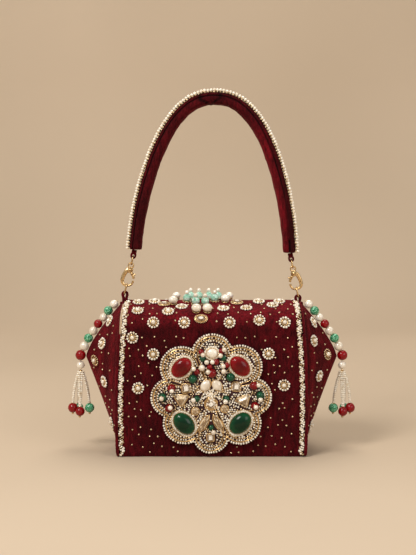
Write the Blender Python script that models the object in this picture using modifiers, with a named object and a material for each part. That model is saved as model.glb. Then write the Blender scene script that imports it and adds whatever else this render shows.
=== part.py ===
"""Embellished clutch: a velvet box bag with pushed-out ends, two roof flaps, a stiff arched strap on
lobster clasps, bead strings and tassels, and a scalloped medallion of beads and stones on the front.

Metres, +Z up. The origin is the middle of the base, the front faces -Y and +X is to the right.
"""

import bisect
import math

import bmesh
import bpy
from mathutils import Matrix, Vector

MM = 0.001
GAP = 0.3 * MM  # between pieces that touch on the real bag

# Panels of the body
HALF_DEPTH = 42 * MM
BASE_HALF_WIDTH = 93 * MM
WIDEST_HALF_WIDTH = 94.1 * MM
WIDEST_HEIGHT = 45 * MM
CREASE_HALF_WIDTH = 90.3 * MM
CLOSURE_HALF_WIDTH = 88.5 * MM
WALL = 3 * MM
WALL_STEPS = 6
CREASE_HEIGHT = 130 * MM
SHOULDER_RADIUS = 20 * MM
SHOULDER_STEPS = 5
ROOF_SLOPE = math.radians(16)
HINGE_GAP = 0.6 * MM
LIP_GAP = 0.6 * MM
NOTCH_DEPTH = 4 * MM  # cut from each flap's corner, where the strap's loop stands
NOTCH_LENGTH = 4.6 * MM
NOTCH_RAMP = 2.4 * MM

# Pushed-out ends
RIDGE_BASE_X = 98 * MM
RIDGE_TIP_X = 131 * MM
RIDGE_TOP_X = 93.5 * MM
TIP_HEIGHT = 97 * MM
RIDGE_TOP_DROP = 3.9 * MM  # from where the roof's slopes would meet to the ridge's top
LOWER_RIDGE_POWER = 1.15
UPPER_RIDGE_POWER = 1.35
GUSSET_CROWN = 1.15
GUSSET_WALL = 2 * MM
GUSSET_SETBACK = 1.5 * MM  # from the front face to the gusset's front edge
GUSSET_TOP_HALF = 4 * MM
SEAM_STEP = 2.4 * MM  # from the panel's side edge to the gusset's outer face
PIPING_RADIUS = 1.7 * MM
PIPING_BEND = 3 * MM  # where it turns under the base
EAR_REACH = 5.2 * MM
EAR_HALF_DEPTH = 3.2 * MM
EAR_HEIGHT = 3.6 * MM
EAR_RISE = 1 * MM  # above the ridge's top

# Lining and stiffener
LINING_WALL = 0.8 * MM
LINING_DROP = 3 * MM  # from the crease to the lining's top edge
LINING_STEPS = 6
LINING_SIDE_CLEARANCE = 4 * MM
LINING_RIDGE_CLEARANCE = 4.5 * MM
BOARD_THICKNESS = 2 * MM
BOARD_MARGIN = 2 * MM

# Edge rows and rosettes
TRIM_RADIUS = 1.7 * MM
TRIM_INSET = 1.8 * MM
TRIM_BOTTOM = 3 * MM
TRIM_CREASE_GAP = 4 * MM
# From a rosette's sunken foot, over its ring of seed beads, to its pearl: (radius, height above the cloth)
ROSETTE_PROFILE = [(6 * MM, -0.9 * MM), (5.4 * MM, 1.8 * MM), (2.5 * MM, 2.2 * MM), (1.7 * MM, 4.2 * MM)]
ROSETTE_SIDES = 8

# Rosettes on the roof as (x, distance from the crease), in millimetres
FRONT_ROOF_ROSETTES = [
    (-75, 22), (-44, 20.8), (-30.6, 31.8), (12, 27), (35.5, 28.3), (62.5, 35.8), (-58.7, 7.6),
    (-27.6, 7.6), (18, 7.6), (48.2, 10), (73.7, 7.6), (-75.3, 44), (-59, 46), (49, 46), (70, 46),
]
REAR_ROOF_ROSETTES = [
    (-64, 10), (-32, 10), (0, 10), (32, 10), (64, 10), (-48, 32), (-16, 32), (16, 32), (48, 32),
]
# Rosettes on the walls as (x, height), in millimetres
FRONT_WALL_ROSETTES = [(-79.8, 122.5), (-58.8, 105.6), (-74.2, 71), (57.4, 106.2), (73.3, 74)]
REAR_WALL_ROSETTES = [
    (-60, 106), (0, 106), (60, 106), (-74, 72), (-28, 72), (28, 72), (74, 72), (-60, 36), (0, 36), (60, 36),
]
# Rosettes on the ends as (height in millimetres, share of the way from the ridge to the front edge)
GUSSET_ROSETTES = {
    "left": [(134, 0.36), (113, 0.46), (95, 0.34), (74, 0.52), (31, 0.48)],
    "right": [(133, 0.4), (117, 0.68), (101, 0.36), (80, 0.55), (28, 0.42)],
}

# Medallion on the front, sizes in millimetres from its centre
MEDALLION_CENTRE = (-0.4 * MM, 65.3 * MM)
PATCH_THICKNESS = 3 * MM
PATCH_FACE_Y = -HALF_DEPTH - GAP - PATCH_THICKNESS
RIM_HEIGHT = 1.6 * MM
RIM_WIDTH = 4 * MM
LOBES = [
    (1.2, 41, 20.9), (-29.6, 26.8, 22.3), (-41, -3.5, 20.4), (-27.2, -29.6, 21.8), (-0.2, -42.4, 18.5),
    (29.2, -30, 21.8), (41.5, -2.6, 19.9), (29.2, 27.8, 22.7),
]
OUTLINE_POINTS = 64
FRAME_WIDTH = 2.2 * MM
FRAME_HEIGHT = 2 * MM
CABOCHON_SIDES = 14
DOME_ANGLES = [math.radians(degrees) for degrees in (5, 37, 69)]
# (name, x, height, length, width, turn in degrees, thickness, material)
STONES = [
    ("red_cabochon_left", -29.9, 26.6, 22.5, 16, 38, 6, "ruby"),
    ("red_cabochon_right", 29, 28.1, 22.5, 16, -38, 6, "ruby"),
    ("green_cabochon_left", -27, -29.9, 25, 18, -38, 7, "emerald"),
    ("green_cabochon_right", 29.2, -29.9, 25, 18, 38, 7, "emerald"),
    ("white_oval_stone", 0.9, 41.8, 12, 10, 0, 4, "pearl"),
    ("centre_crystal", -0.2, -9.7, 8.4, 8.4, 45, 4, "crystal"),
    ("marquise_crystal_left", -7.1, -30, 20.5, 7, 60, 4, "champagne"),
    ("marquise_crystal_right", 7.1, -30, 20.5, 7, -60, 4, "champagne"),
]
# Stones sewn into the patch's own beadwork: (x, height, radius)
MINOR_STONES = [
    (-5.4, 9, 5), (5.8, 9, 5), (-25.3, 6, 4.5), (25.4, 7.9, 4.5), (-0.7, -44.5, 4), (-30, -7.3, 6),
    (34, -8.3, 6), (-16, -17.3, 3.6), (13.6, -14.9, 3.6), (-40, 6.4, 3), (-39.3, 3.9, 3),
    (-49, -3.2, 3), (-42.4, -14.1, 3), (43, 8.8, 3), (47.7, 9.6, 3), (49.6, -1.1, 3), (43.9, -12, 3),
    (-10.1, 43, 3), (-8.7, 36.3, 3), (13.1, 45, 3), (9.5, 39.5, 3), (-9.2, 27.3, 3.5), (-0.7, 28.7, 3),
    (12, 29, 3), (15.5, 29.7, 3), (12.8, 23.5, 3), (-14.4, 23, 3), (0.8, 21.6, 4), (-18.5, 15.5, 4),
    (19.5, 17.5, 4), (-18.2, -5.7, 3), (14.3, -6.8, 3), (0, -34, 3),
]
MINOR_SIDES = 6
MINOR_RISE = 0.7  # shares of the stone's radius
MINOR_TAPER = 0.55

# Mint beads on the roof: (x, distance from the crease), in millimetres
FRONT_COMB = [(-25.3, 47.4), (-16.3, 39.4), (-6.4, 38.4), (3.4, 47.9)]
REAR_COMB = [(-21.7, 49), (-13, 49), (-2.8, 49), (6.9, 49)]
MINT_RADIUS = 4 * MM
FINIAL_RADIUS = 2.2 * MM
FINIAL_OVERLAP = 0.4 * MM
# Pearls on the roof: (name, x, distance from the crease, radius), in millimetres
ROOF_PEARLS = [
    ("end_pearl_front_left", -39.4, 39.5, 4.1), ("end_pearl_front_right", 14.2, 45, 4.5),
    ("large_pearl_left", -15.4, 21, 5), ("large_pearl_right", -4.2, 21, 5),
]
REAR_PEARLS = [("end_pearl_rear_left", -36.7, 48.5, 4.4), ("end_pearl_rear_right", 18.6, 48.5, 4.4)]
# The oval crystal: x, distance from the crease, length, width and height, in millimetres
TOP_CRYSTAL = (-10.7, 10.2, 13, 10, 4)
MAGNET_RADIUS = 6 * MM
MAGNET_THICKNESS = 2 * MM
MAGNET_INSET = 10 * MM

# Bead strings down the ridges: radii from the top down
STRING_RADII = [4.5 * MM, 4.75 * MM, 4.25 * MM, 4.65 * MM, 4.5 * MM, 4.85 * MM, 4.9 * MM, 5.5 * MM]
STRING_END_RISE = 0.6 * MM  # from the end's tip to the last bead's foot
STRING_SEARCH_STEP = 0.05 * MM
STRING_CORD_RADIUS = 0.8 * MM
BEAD_OVERLAP = 0.2 * MM
BEAD_SIDES, BEAD_RINGS = 8, 5

# Tassels
TASSEL_PEARL_RADIUS = 4.5 * MM
STRAND_RADIUS = 1.4 * MM
STRAND_BOW = 0.12  # share of a strand's spread that its middle stands out by
KNOT_RADIUS = 1.8 * MM
# Each strand's end bead: (outward, forward, drop below the pearl, radius), in millimetres
STRAND_ENDS = [(-9, 1.5, 40.5, 5), (0.6, 5.5, 43.5, 5), (8.6, 1, 40.5, 5.2), (3, -6.5, 41.5, 4.6)]

# Handle: the loops, the chain of rings and clasps, and the strap
PIVOT_X = 90 * MM
LOOP_RISE = 8.3 * MM  # from the ear to the axis that the strap swings on
HANDLE_LEAN = math.radians(1.2)
CHAIN_LEAN = math.radians(12)
LOOP_CORD_RADIUS = 1.5 * MM
LOOP_BEND = 3.2 * MM
RING_WIRE = 0.75 * MM
RING_HALF_WIDTH = 3.5 * MM  # to the wire's centre
LOWER_RING_LENGTH = 11.5 * MM
UPPER_RING_LENGTH = 9.5 * MM
CLASP_WIRE = 1.1 * MM
CLASP_HALF_WIDTH = 5.6 * MM
CLASP_LENGTH = 17 * MM
PLATE_RADIUS = 2.6 * MM
PLATE_THICKNESS = 2.6 * MM
EYE_RADIUS = 2.6 * MM
EYE_WIRE = 0.9 * MM
EYE_SIDES = 12
CLAW_TIP_ANGLE = 10  # degrees above the claw's middle, where its open end stops
# The claw's back up to its plate: (x, height) from the plate's centre
CLASP_NECK = [(-5.15 * MM, -7.4 * MM), (-3.2 * MM, -2 * MM), (-0.6 * MM, 0)]
LEVER_WIRE = 1 * MM
LEVER_BOSS = 1.5 * MM
LEVER_BOW = 0.5 * MM
SPUR_WIRE = 0.8 * MM
SPUR_SHARE = 0.3  # of the way from the pin to the gate's end, where the spur stands
SPUR_REACH = 3.2 * MM
SPUR_RISE = 1.2 * MM
PIN_ANGLE = math.radians(-50)  # from the plate's centre to the lever's pin
TAB_RADIUS = 1.1 * MM
TAB_BEND = 2.1 * MM
TAB_LEG = 6.4 * MM
STRAP_HALF_SPAN = 79.8 * MM
STRAP_RISE = 156.4 * MM
STRAP_X_POWER = 2.3
STRAP_Z_POWER = 1.5
STRAP_WIDTH = 22 * MM
STRAP_THICKNESS = 13 * MM
STRAP_ROUNDING = 0.22  # share of the thickness taken off each long edge
STRAP_STEPS = 36
PEARL_ROWS = 132
PEARL_ROWS_WIDTH = 19 * MM
PEARL_ROWS_THICKNESS = 2.6 * MM
RIB_SHARE = 0.5  # of that thickness, how deep the valleys between the rows are
RIB_EDGE = 1.5 * MM  # where a row's top starts to fall, from the band's side
RIB_EDGE_SHARE = 0.5  # of the height there, how far it falls

COLOURS = {
    "velvet": ((0.16, 0.006, 0.016), 0.85, 0.0),
    "velvet_dark": ((0.08, 0.004, 0.01), 0.85, 0.0),
    "satin": ((0.3, 0.02, 0.04), 0.5, 0.0),
    "board": ((0.35, 0.3, 0.24), 0.9, 0.0),
    "pearl": ((0.86, 0.82, 0.74), 0.2, 0.0),
    "gold": ((0.85, 0.6, 0.26), 0.28, 1.0),
    "beadwork": ((0.72, 0.58, 0.36), 0.4, 0.3),
    "ruby": ((0.35, 0.008, 0.02), 0.1, 0.0),
    "emerald": ((0.004, 0.1, 0.045), 0.1, 0.0),
    "mint": ((0.32, 0.72, 0.55), 0.15, 0.0),
    "crystal": ((0.75, 0.74, 0.7), 0.08, 0.0),
    "champagne": ((0.68, 0.5, 0.26), 0.12, 0.0),
    "steel": ((0.6, 0.6, 0.6), 0.35, 1.0),
}
SIDES = {"left": -1, "right": 1}


def clear_scene():
    for obj in list(bpy.data.objects):
        bpy.data.objects.remove(obj, do_unlink=True)


def new_collection(name):
    made = bpy.data.collections.new(name)
    bpy.context.scene.collection.children.link(made)
    return made


def new_material(name, colour, roughness, metallic):
    made = bpy.data.materials.new(name)
    made.use_nodes = True
    shader = made.node_tree.nodes["Principled BSDF"]
    shader.inputs["Base Color"].default_value = (*colour, 1)
    shader.inputs["Roughness"].default_value = roughness
    shader.inputs["Metallic"].default_value = metallic
    return made


clear_scene()
BAG = new_collection("embellished_clutch")
CUTTERS = new_collection("cutters")
MATERIALS = {name: new_material(name, *values) for name, values in COLOURS.items()}


# Building helpers


def add_object(name, data, material, parent=None, at=(0, 0, 0)):
    made = bpy.data.objects.new(name, data)
    data.materials.append(MATERIALS[material])
    made.parent = parent
    made.location = at
    BAG.objects.link(made)
    return made


def add_empty(name, at, parent=None, turn=0.0):
    """An empty on a joint's axis, turned about Y."""
    made = bpy.data.objects.new(name, None)
    made.location = at
    made.rotation_euler = (0, turn, 0)
    made.parent = parent
    made.empty_display_size = 0.01
    BAG.objects.link(made)
    return made


def as_mesh(bm, name, smooth=True):
    data = bpy.data.meshes.new(name)
    bm.to_mesh(data)
    bm.free()
    if smooth:
        data.shade_smooth()
        data.set_sharp_from_angle(angle=math.radians(40))
    return data


def curve_data(name, points, radius, closed=False, sides=6):
    """A round tube along the points; six sides is a bevel resolution of one."""
    data = bpy.data.curves.new(name, "CURVE")
    data.dimensions = "3D"
    data.bevel_depth = radius
    data.bevel_resolution = (sides - 4) // 2
    data.use_fill_caps = not closed
    spline = data.splines.new("POLY")
    spline.points.add(len(points) - 1)
    for point, place in zip(spline.points, points):
        point.co = (*place, 1)
    spline.use_cyclic_u = closed
    return data


def tube_mesh(name, points, radius, closed=False, sides=6):
    """The same tube as a mesh, its caps welded, for joining to other shapes."""
    guide = bpy.data.objects.new(name + "_guide", curve_data(name, points, radius, closed, sides))
    CUTTERS.objects.link(guide)
    bpy.context.view_layer.update()
    data = bpy.data.meshes.new_from_object(guide.evaluated_get(bpy.context.evaluated_depsgraph_get()))
    bpy.data.objects.remove(guide)
    bm = bmesh.new()
    bm.from_mesh(data)
    bmesh.ops.remove_doubles(bm, verts=bm.verts, dist=0.001 * MM)
    bm.to_mesh(data)
    bm.free()
    data.name = name
    return data


def ball(bm, centre, radius, sides=BEAD_SIDES, rings=BEAD_RINGS):
    place = Matrix.Translation(Vector(centre))
    bmesh.ops.create_uvsphere(bm, u_segments=sides, v_segments=rings, radius=radius, matrix=place)


def drum(bm, bottom, direction, radius, top_radius, height, sides):
    """A cylinder or a cone's frustum that stands on its bottom centre."""
    up = Vector(direction).normalized()
    turn = up.to_track_quat("Z", "Y").to_matrix().to_4x4()
    place = Matrix.Translation(Vector(bottom) + up * (height / 2)) @ turn
    bmesh.ops.create_cone(
        bm, cap_ends=True, segments=sides, radius1=radius, radius2=top_radius, depth=height, matrix=place
    )


def loft(bm, rings):
    """Closed sides through rings of vertices, and a face across each end."""
    count = len(rings[0])
    for low, high in zip(rings, rings[1:]):
        for k in range(count):
            n = (k + 1) % count
            bm.faces.new((low[k], low[n], high[n], high[k]))
    bm.faces.new(list(reversed(rings[0])))
    bm.faces.new(rings[-1])


def unite(target, data, name, own_overlaps=False):
    """Joins a mesh to the target with a Boolean union. The mesh is kept as a wire guide."""
    cutter = bpy.data.objects.new(f"{target.name}_{name}", data)
    cutter.parent = target.parent
    cutter.location = target.location
    cutter.hide_render = True
    cutter.display_type = "WIRE"
    CUTTERS.objects.link(cutter)
    joined = target.modifiers.new(name, "BOOLEAN")
    joined.operation = "UNION"
    joined.solver = "EXACT"
    joined.use_self = own_overlaps
    joined.object = cutter


def sheet(name, rows, thickness, material, parent=None, at=(0, 0, 0)):
    """A panel through rows of points, given its thickness on the inner side."""
    bm = bmesh.new()
    grid = [[bm.verts.new(Vector(p) - Vector(at)) for p in row] for row in rows]
    for low, high in zip(grid, grid[1:]):
        for a, b, c, d in zip(low, low[1:], high[1:], high):
            bm.faces.new((a, b, c, d))
    made = add_object(name, as_mesh(bm, name), material, parent, at)
    solid = made.modifiers.new("thickness", "SOLIDIFY")
    solid.thickness = thickness
    solid.offset = -1
    solid.use_even_offset = True
    return made


# Curves that the pieces share


def half_width(height):
    """Half the front panel's width, a parabola through the base, the widest height and the crease."""
    rise = WIDEST_HALF_WIDTH - BASE_HALF_WIDTH
    fall = WIDEST_HALF_WIDTH - CREASE_HALF_WIDTH
    if height <= WIDEST_HEIGHT:
        return WIDEST_HALF_WIDTH - rise * (1 - height / WIDEST_HEIGHT) ** 2
    return WIDEST_HALF_WIDTH - fall * ((height - WIDEST_HEIGHT) / (CREASE_HEIGHT - WIDEST_HEIGHT)) ** 2


ARC_LENGTH = SHOULDER_RADIUS * (math.pi / 2 - ROOF_SLOPE)
SLOPE_RUN = HALF_DEPTH - SHOULDER_RADIUS + SHOULDER_RADIUS * math.sin(ROOF_SLOPE)
ROOF_LENGTH = ARC_LENGTH + SLOPE_RUN / math.cos(ROOF_SLOPE)
ROOF_PEAK = CREASE_HEIGHT + SHOULDER_RADIUS * math.cos(ROOF_SLOPE) + SLOPE_RUN * math.tan(ROOF_SLOPE)
RIDGE_TOP_HEIGHT = ROOF_PEAK - RIDGE_TOP_DROP
EAR_TOP = RIDGE_TOP_HEIGHT + EAR_RISE
PIVOT_HEIGHT = EAR_TOP + LOOP_RISE


def roof_at(distance, lift=0.0):
    """The point (y, z) and the outward normal of the front roof, this far up from the crease."""
    if distance <= ARC_LENGTH:
        angle = distance / SHOULDER_RADIUS
        past = 0.0
    else:
        angle = ARC_LENGTH / SHOULDER_RADIUS
        past = distance - ARC_LENGTH
    normal = Vector((0, -math.cos(angle), math.sin(angle)))
    along = Vector((0, math.sin(angle), math.cos(angle)))
    centre = Vector((0, SHOULDER_RADIUS - HALF_DEPTH, CREASE_HEIGHT))
    return centre + normal * (SHOULDER_RADIUS + lift) + along * past, normal


def roof_half_width(distance):
    share = distance / ROOF_LENGTH
    return CREASE_HALF_WIDTH + (CLOSURE_HALF_WIDTH - CREASE_HALF_WIDTH) * share


def ridge_x(height):
    """How far out the end's ridge stands at a height."""
    if height <= TIP_HEIGHT:
        share = (height / TIP_HEIGHT) ** LOWER_RIDGE_POWER
        return RIDGE_BASE_X + (RIDGE_TIP_X - RIDGE_BASE_X) * share
    share = (height - TIP_HEIGHT) / (RIDGE_TOP_HEIGHT - TIP_HEIGHT)
    return RIDGE_TIP_X - (RIDGE_TIP_X - RIDGE_TOP_X) * share**UPPER_RIDGE_POWER


def gusset_edge(height):
    """The front edge (x, y, z) of the end's outer face for the row that meets the ridge at this height."""
    if height <= CREASE_HEIGHT:
        return half_width(height) + SEAM_STEP, GUSSET_SETBACK - HALF_DEPTH, height
    share = (height - CREASE_HEIGHT) / (RIDGE_TOP_HEIGHT - CREASE_HEIGHT)
    distance = share * (ROOF_LENGTH - GUSSET_TOP_HALF)
    place, _ = roof_at(distance, -GUSSET_SETBACK)
    return roof_half_width(distance) + SEAM_STEP, place.y, place.z


def gusset_point(side, height, share):
    """A point of the end's outer face: share 0 on the ridge, 1 at the front edge and -1 at the rear."""
    edge_x, edge_y, edge_z = gusset_edge(height)
    across = abs(share)
    x = edge_x + (ridge_x(height) - edge_x) * (1 - across**GUSSET_CROWN)
    z = height + (edge_z - height) * across
    return Vector((side * x, edge_y * share, z))


def gusset_normal(side, height, share):
    step = 0.02
    along = gusset_point(side, height + step * TIP_HEIGHT, share) - gusset_point(side, height, share)
    across = gusset_point(side, height, share + step) - gusset_point(side, height, share)
    normal = along.cross(across).normalized()
    return normal if normal.x * side > 0 else -normal


def arc(centre, radius, start, end, steps):
    """Points on an arc in the XZ plane, angles in degrees from +X towards +Z."""
    points = []
    for k in range(steps + 1):
        angle = math.radians(start + (end - start) * k / steps)
        points.append((centre[0] + radius * math.cos(angle), 0, centre[1] + radius * math.sin(angle)))
    return points


# Body of the bag


def rosettes(places):
    """One mesh of turned rosettes, each given by its centre on the surface and the surface's normal."""
    bm = bmesh.new()
    for centre, normal in places:
        place = Matrix.Translation(centre) @ normal.to_track_quat("Z", "Y").to_matrix().to_4x4()
        rings = []
        for radius, height in ROSETTE_PROFILE:
            turns = [2 * math.pi * k / ROSETTE_SIDES for k in range(ROSETTE_SIDES)]
            points = [Vector((radius * math.cos(turn), radius * math.sin(turn), height)) for turn in turns]
            rings.append([bm.verts.new(place @ point) for point in points])
        loft(bm, rings)
    return as_mesh(bm, "rosettes", smooth=False)


def velvet_cover():
    """Rear wall, base and front wall in one wrapped panel."""
    heights = [CREASE_HEIGHT * (1 - step / WALL_STEPS) for step in range(WALL_STEPS + 1)]
    profile = [(HALF_DEPTH, z) for z in heights] + [(-HALF_DEPTH, z) for z in reversed(heights)]
    rows = [[(side * half_width(z), y, z) for side in (-1, 1)] for y, z in profile]
    cover = sheet("velvet_cover", rows, WALL, "velvet")
    front = [(Vector((x * MM, -HALF_DEPTH, z * MM)), Vector((0, -1, 0))) for x, z in FRONT_WALL_ROSETTES]
    rear = [(Vector((x * MM, HALF_DEPTH, z * MM)), Vector((0, 1, 0))) for x, z in REAR_WALL_ROSETTES]
    unite(cover, rosettes(front + rear), "rosettes")


def base_board():
    bm = bmesh.new()
    bmesh.ops.create_cube(bm, size=1)
    size = (2 * (BASE_HALF_WIDTH - BOARD_MARGIN), 2 * (HALF_DEPTH - WALL - BOARD_MARGIN), BOARD_THICKNESS)
    bmesh.ops.scale(bm, vec=size, verts=bm.verts)
    at = (0, 0, WALL + GAP + BOARD_THICKNESS / 2)
    add_object("base_board", as_mesh(bm, "base_board", smooth=False), "board", at=at)


def lining():
    """A six-sided bag that follows the walls and the pushed-out ends, open at the top."""
    bottom = WALL + BOARD_THICKNESS + 2 * GAP
    rows = []
    for step in range(LINING_STEPS + 1):
        z = bottom + (CREASE_HEIGHT - LINING_DROP - bottom) * step / LINING_STEPS
        x = half_width(z) - LINING_SIDE_CLEARANCE
        y = HALF_DEPTH - WALL - 2 * GAP
        ridge = ridge_x(z) - LINING_RIDGE_CLEARANCE
        rows.append([(-x, -y, z), (x, -y, z), (ridge, 0, z), (x, y, z), (-x, y, z), (-ridge, 0, z)])
    bm = bmesh.new()
    grid = [[bm.verts.new(p) for p in row] for row in rows]
    for low, high in zip(grid, grid[1:]):
        for k in range(6):
            bm.faces.new((low[k], low[(k + 1) % 6], high[(k + 1) % 6], high[k]))
    bm.faces.new(list(reversed(grid[0])))
    made = add_object("lining", as_mesh(bm, "lining", smooth=False), "satin")
    solid = made.modifiers.new("thickness", "SOLIDIFY")
    solid.thickness = LINING_WALL
    solid.offset = -1
    solid.use_even_offset = True


def gusset(name, side):
    """One pushed-out end with its rosettes, and the ear at its top that carries the strap's loop."""
    bottom = 2 * PIPING_RADIUS + 2 * GAP
    lower = [bottom + (CREASE_HEIGHT - bottom) * k / 9 for k in range(10)]
    upper = [CREASE_HEIGHT + (RIDGE_TOP_HEIGHT - CREASE_HEIGHT) * k / 5 for k in range(1, 6)]
    shares = [1, 0.68, 0.34, 0, -0.34, -0.68, -1]
    if side < 0:
        shares.reverse()
    rows = [[gusset_point(side, z, share) for share in shares] for z in lower + upper]
    made = sheet(f"gusset_{name}", rows, GUSSET_WALL, "velvet")
    places = []
    for z, share in GUSSET_ROSETTES[name]:
        for facing in (share, -share):
            places.append((gusset_point(side, z * MM, facing), gusset_normal(side, z * MM, facing)))
    unite(made, rosettes(places), "rosettes")
    bm = bmesh.new()
    bmesh.ops.create_cube(bm, size=1)
    bmesh.ops.scale(bm, vec=(2 * EAR_REACH, 2 * EAR_HALF_DEPTH, EAR_HEIGHT), verts=bm.verts)
    bmesh.ops.translate(bm, vec=(side * PIVOT_X, 0, EAR_TOP - EAR_HEIGHT / 2), verts=bm.verts)
    unite(made, as_mesh(bm, "ear", smooth=False), "ear")


def piping(name, side):
    """Rolled velvet round the end's seam: down the front, under the base and up the rear."""
    top = CREASE_HEIGHT - TRIM_CREASE_GAP
    low = PIPING_RADIUS + GAP
    out = HALF_DEPTH + 2 * GAP
    heights = [top + (low + PIPING_BEND - top) * k / 6 for k in range(7)]
    front = [(side * (half_width(z) + SEAM_STEP), -out, z) for z in heights]
    x = side * (BASE_HALF_WIDTH + SEAM_STEP)
    eased = PIPING_BEND * (1 - math.cos(math.radians(45)))
    corner = [(x, -out + eased, low + eased), (x, -out + PIPING_BEND, low)]
    half = front + corner
    points = half + [(px, -py, pz) for px, py, pz in reversed(half)]
    add_object(f"piping_{name}", curve_data("piping", points, PIPING_RADIUS), "velvet_dark")


def wall_trim(name, side, facing):
    """The pearl and gold row up the side edge of the front or rear wall."""
    y = facing * (HALF_DEPTH + GAP + TRIM_RADIUS)
    top = CREASE_HEIGHT - TRIM_CREASE_GAP
    points = []
    for k in range(9):
        z = TRIM_BOTTOM + (top - TRIM_BOTTOM) * k / 8
        points.append((side * (half_width(z) - TRIM_INSET), y, z))
    add_object(name, curve_data("trim", points, TRIM_RADIUS), "beadwork")


def strap_loop(name, side):
    """Velvet cord bent over the ring's wire, its two legs standing on the end's ear."""
    x = side * PIVOT_X * math.cos(HANDLE_LEAN)
    top = PIVOT_HEIGHT - side * PIVOT_X * math.sin(HANDLE_LEAN)
    foot = EAR_TOP + GAP
    bend = arc((x, top - LOOP_BEND), LOOP_BEND, 180, 0, 6)
    points = [(x - LOOP_BEND, 0, foot)] + bend + [(x + LOOP_BEND, 0, foot)]
    add_object(f"loop_{name}", curve_data("loop", points, LOOP_CORD_RADIUS), "velvet_dark")


# Roof flaps


def flap(name, facing, places):
    """One roof flap: facing -1 is the front one. It turns about its outer edge at the crease."""
    hinge = (0, facing * HALF_DEPTH, CREASE_HEIGHT + HINGE_GAP / 2)
    pivot = add_empty(f"{name}_hinge", hinge)
    lip = ROOF_LENGTH - LIP_GAP / 2
    notch = lip - NOTCH_LENGTH
    stations = [HINGE_GAP + (ARC_LENGTH - HINGE_GAP) * k / SHOULDER_STEPS for k in range(SHOULDER_STEPS + 1)]
    stations += [(ARC_LENGTH + notch) / 2, notch - NOTCH_RAMP, notch, lip]
    rows = []
    for distance in stations:
        place, _ = roof_at(distance)
        if distance == lip:
            # The lip lies level, so that the two flaps meet face to face.
            place = Vector((0, -LIP_GAP / 2, level))
        level = place.z
        narrow = NOTCH_DEPTH if distance >= notch else 0.0
        x = roof_half_width(distance) - narrow
        row = [(-x, -facing * place.y, place.z), (x, -facing * place.y, place.z)]
        rows.append(row if facing < 0 else list(reversed(row)))
    made = sheet(name, rows, WALL, "velvet", pivot)
    made.location = -Vector(hinge)
    spots = []
    for x, distance in places:
        place, normal = roof_at(distance * MM)
        spots.append((
            Vector((x * MM, -facing * place.y, place.z)),
            Vector((0, -facing * normal.y, normal.z)),
        ))
    unite(made, rosettes(spots), "rosettes")
    for side in (-1, 1):
        points = []
        for k in range(10):
            distance = TRIM_CREASE_GAP + (notch - NOTCH_RAMP - TRIM_CREASE_GAP) * k / 9
            place, _ = roof_at(distance, TRIM_RADIUS / 2)
            points.append((side * (roof_half_width(distance) - TRIM_INSET), -facing * place.y, place.z))
        unite(made, tube_mesh("trim", points, TRIM_RADIUS), f"trim_{'left' if side < 0 else 'right'}")
    return pivot


def on_flap(facing, x, distance, lift):
    """A place above a flap's face, counted from the flap's hinge."""
    place, normal = roof_at(distance, lift)
    hinge = Vector((0, facing * HALF_DEPTH, CREASE_HEIGHT + HINGE_GAP / 2))
    return Vector((x, -facing * place.y, place.z)) - hinge, Vector((0, -facing * normal.y, normal.z))


def magnet(name, facing, pivot):
    """A flat disc under the lip, seated against the flap's inner face."""
    bm = bmesh.new()
    depth = WALL + GAP + MAGNET_THICKNESS
    place, normal = on_flap(facing, 0, ROOF_LENGTH - MAGNET_INSET, -depth)
    drum(bm, place, normal, MAGNET_RADIUS, MAGNET_RADIUS, MAGNET_THICKNESS, 16)
    add_object(name, as_mesh(bm, name), "steel", pivot)


def mint_bead(name, facing, x, distance, pivot):
    """A faceted green bead with its finial pearl on the same pin."""
    centre, normal = on_flap(facing, x, distance, GAP + MINT_RADIUS)
    bm = bmesh.new()
    ball(bm, (0, 0, 0), MINT_RADIUS, 8, 6)
    made = add_object(name, as_mesh(bm, name, smooth=False), "mint", pivot, centre)
    top = bmesh.new()
    ball(top, normal * (MINT_RADIUS + FINIAL_RADIUS - FINIAL_OVERLAP), FINIAL_RADIUS, 6, 4)
    unite(made, as_mesh(top, "finial"), "finial")


def roof_pearl(name, facing, x, distance, radius, pivot):
    centre, _ = on_flap(facing, x, distance, GAP + radius)
    bm = bmesh.new()
    ball(bm, (0, 0, 0), radius)
    add_object(name, as_mesh(bm, name), "pearl", pivot, centre)


def dome(bm, length, width, height, sides, power=2.0):
    """Half of a flattened ball on the XY plane, length along X. A higher power squares its outline."""
    rows = []
    for angle in DOME_ANGLES:
        rows.append([])
        for k in range(sides):
            turn = 2 * math.pi * k / sides
            x = math.copysign(abs(math.cos(turn)) ** (2 / power), math.cos(turn))
            y = math.copysign(abs(math.sin(turn)) ** (2 / power), math.sin(turn))
            spread = math.cos(angle)
            rows[-1].append(
                bm.verts.new((x * spread * length / 2, y * spread * width / 2, height * math.sin(angle)))
            )
    foot = [bm.verts.new((v.co.x, v.co.y, 0)) for v in rows[0]]
    loft(bm, [foot, *rows])


def top_crystal(pivot):
    """The framed oval crystal below the comb, lying on the shoulder."""
    x, distance, length, width, height = (value * MM for value in TOP_CRYSTAL)
    place, normal = on_flap(-1, x, distance, GAP)
    bm = bmesh.new()
    dome(bm, length, width, height, CABOCHON_SIDES)
    turn = Matrix((Vector((1, 0, 0)), normal.cross(Vector((1, 0, 0))), normal)).transposed()
    bmesh.ops.transform(bm, matrix=turn.to_4x4(), verts=bm.verts)
    add_object("top_crystal", as_mesh(bm, "top_crystal"), "crystal", pivot, place)


# Medallion


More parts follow.
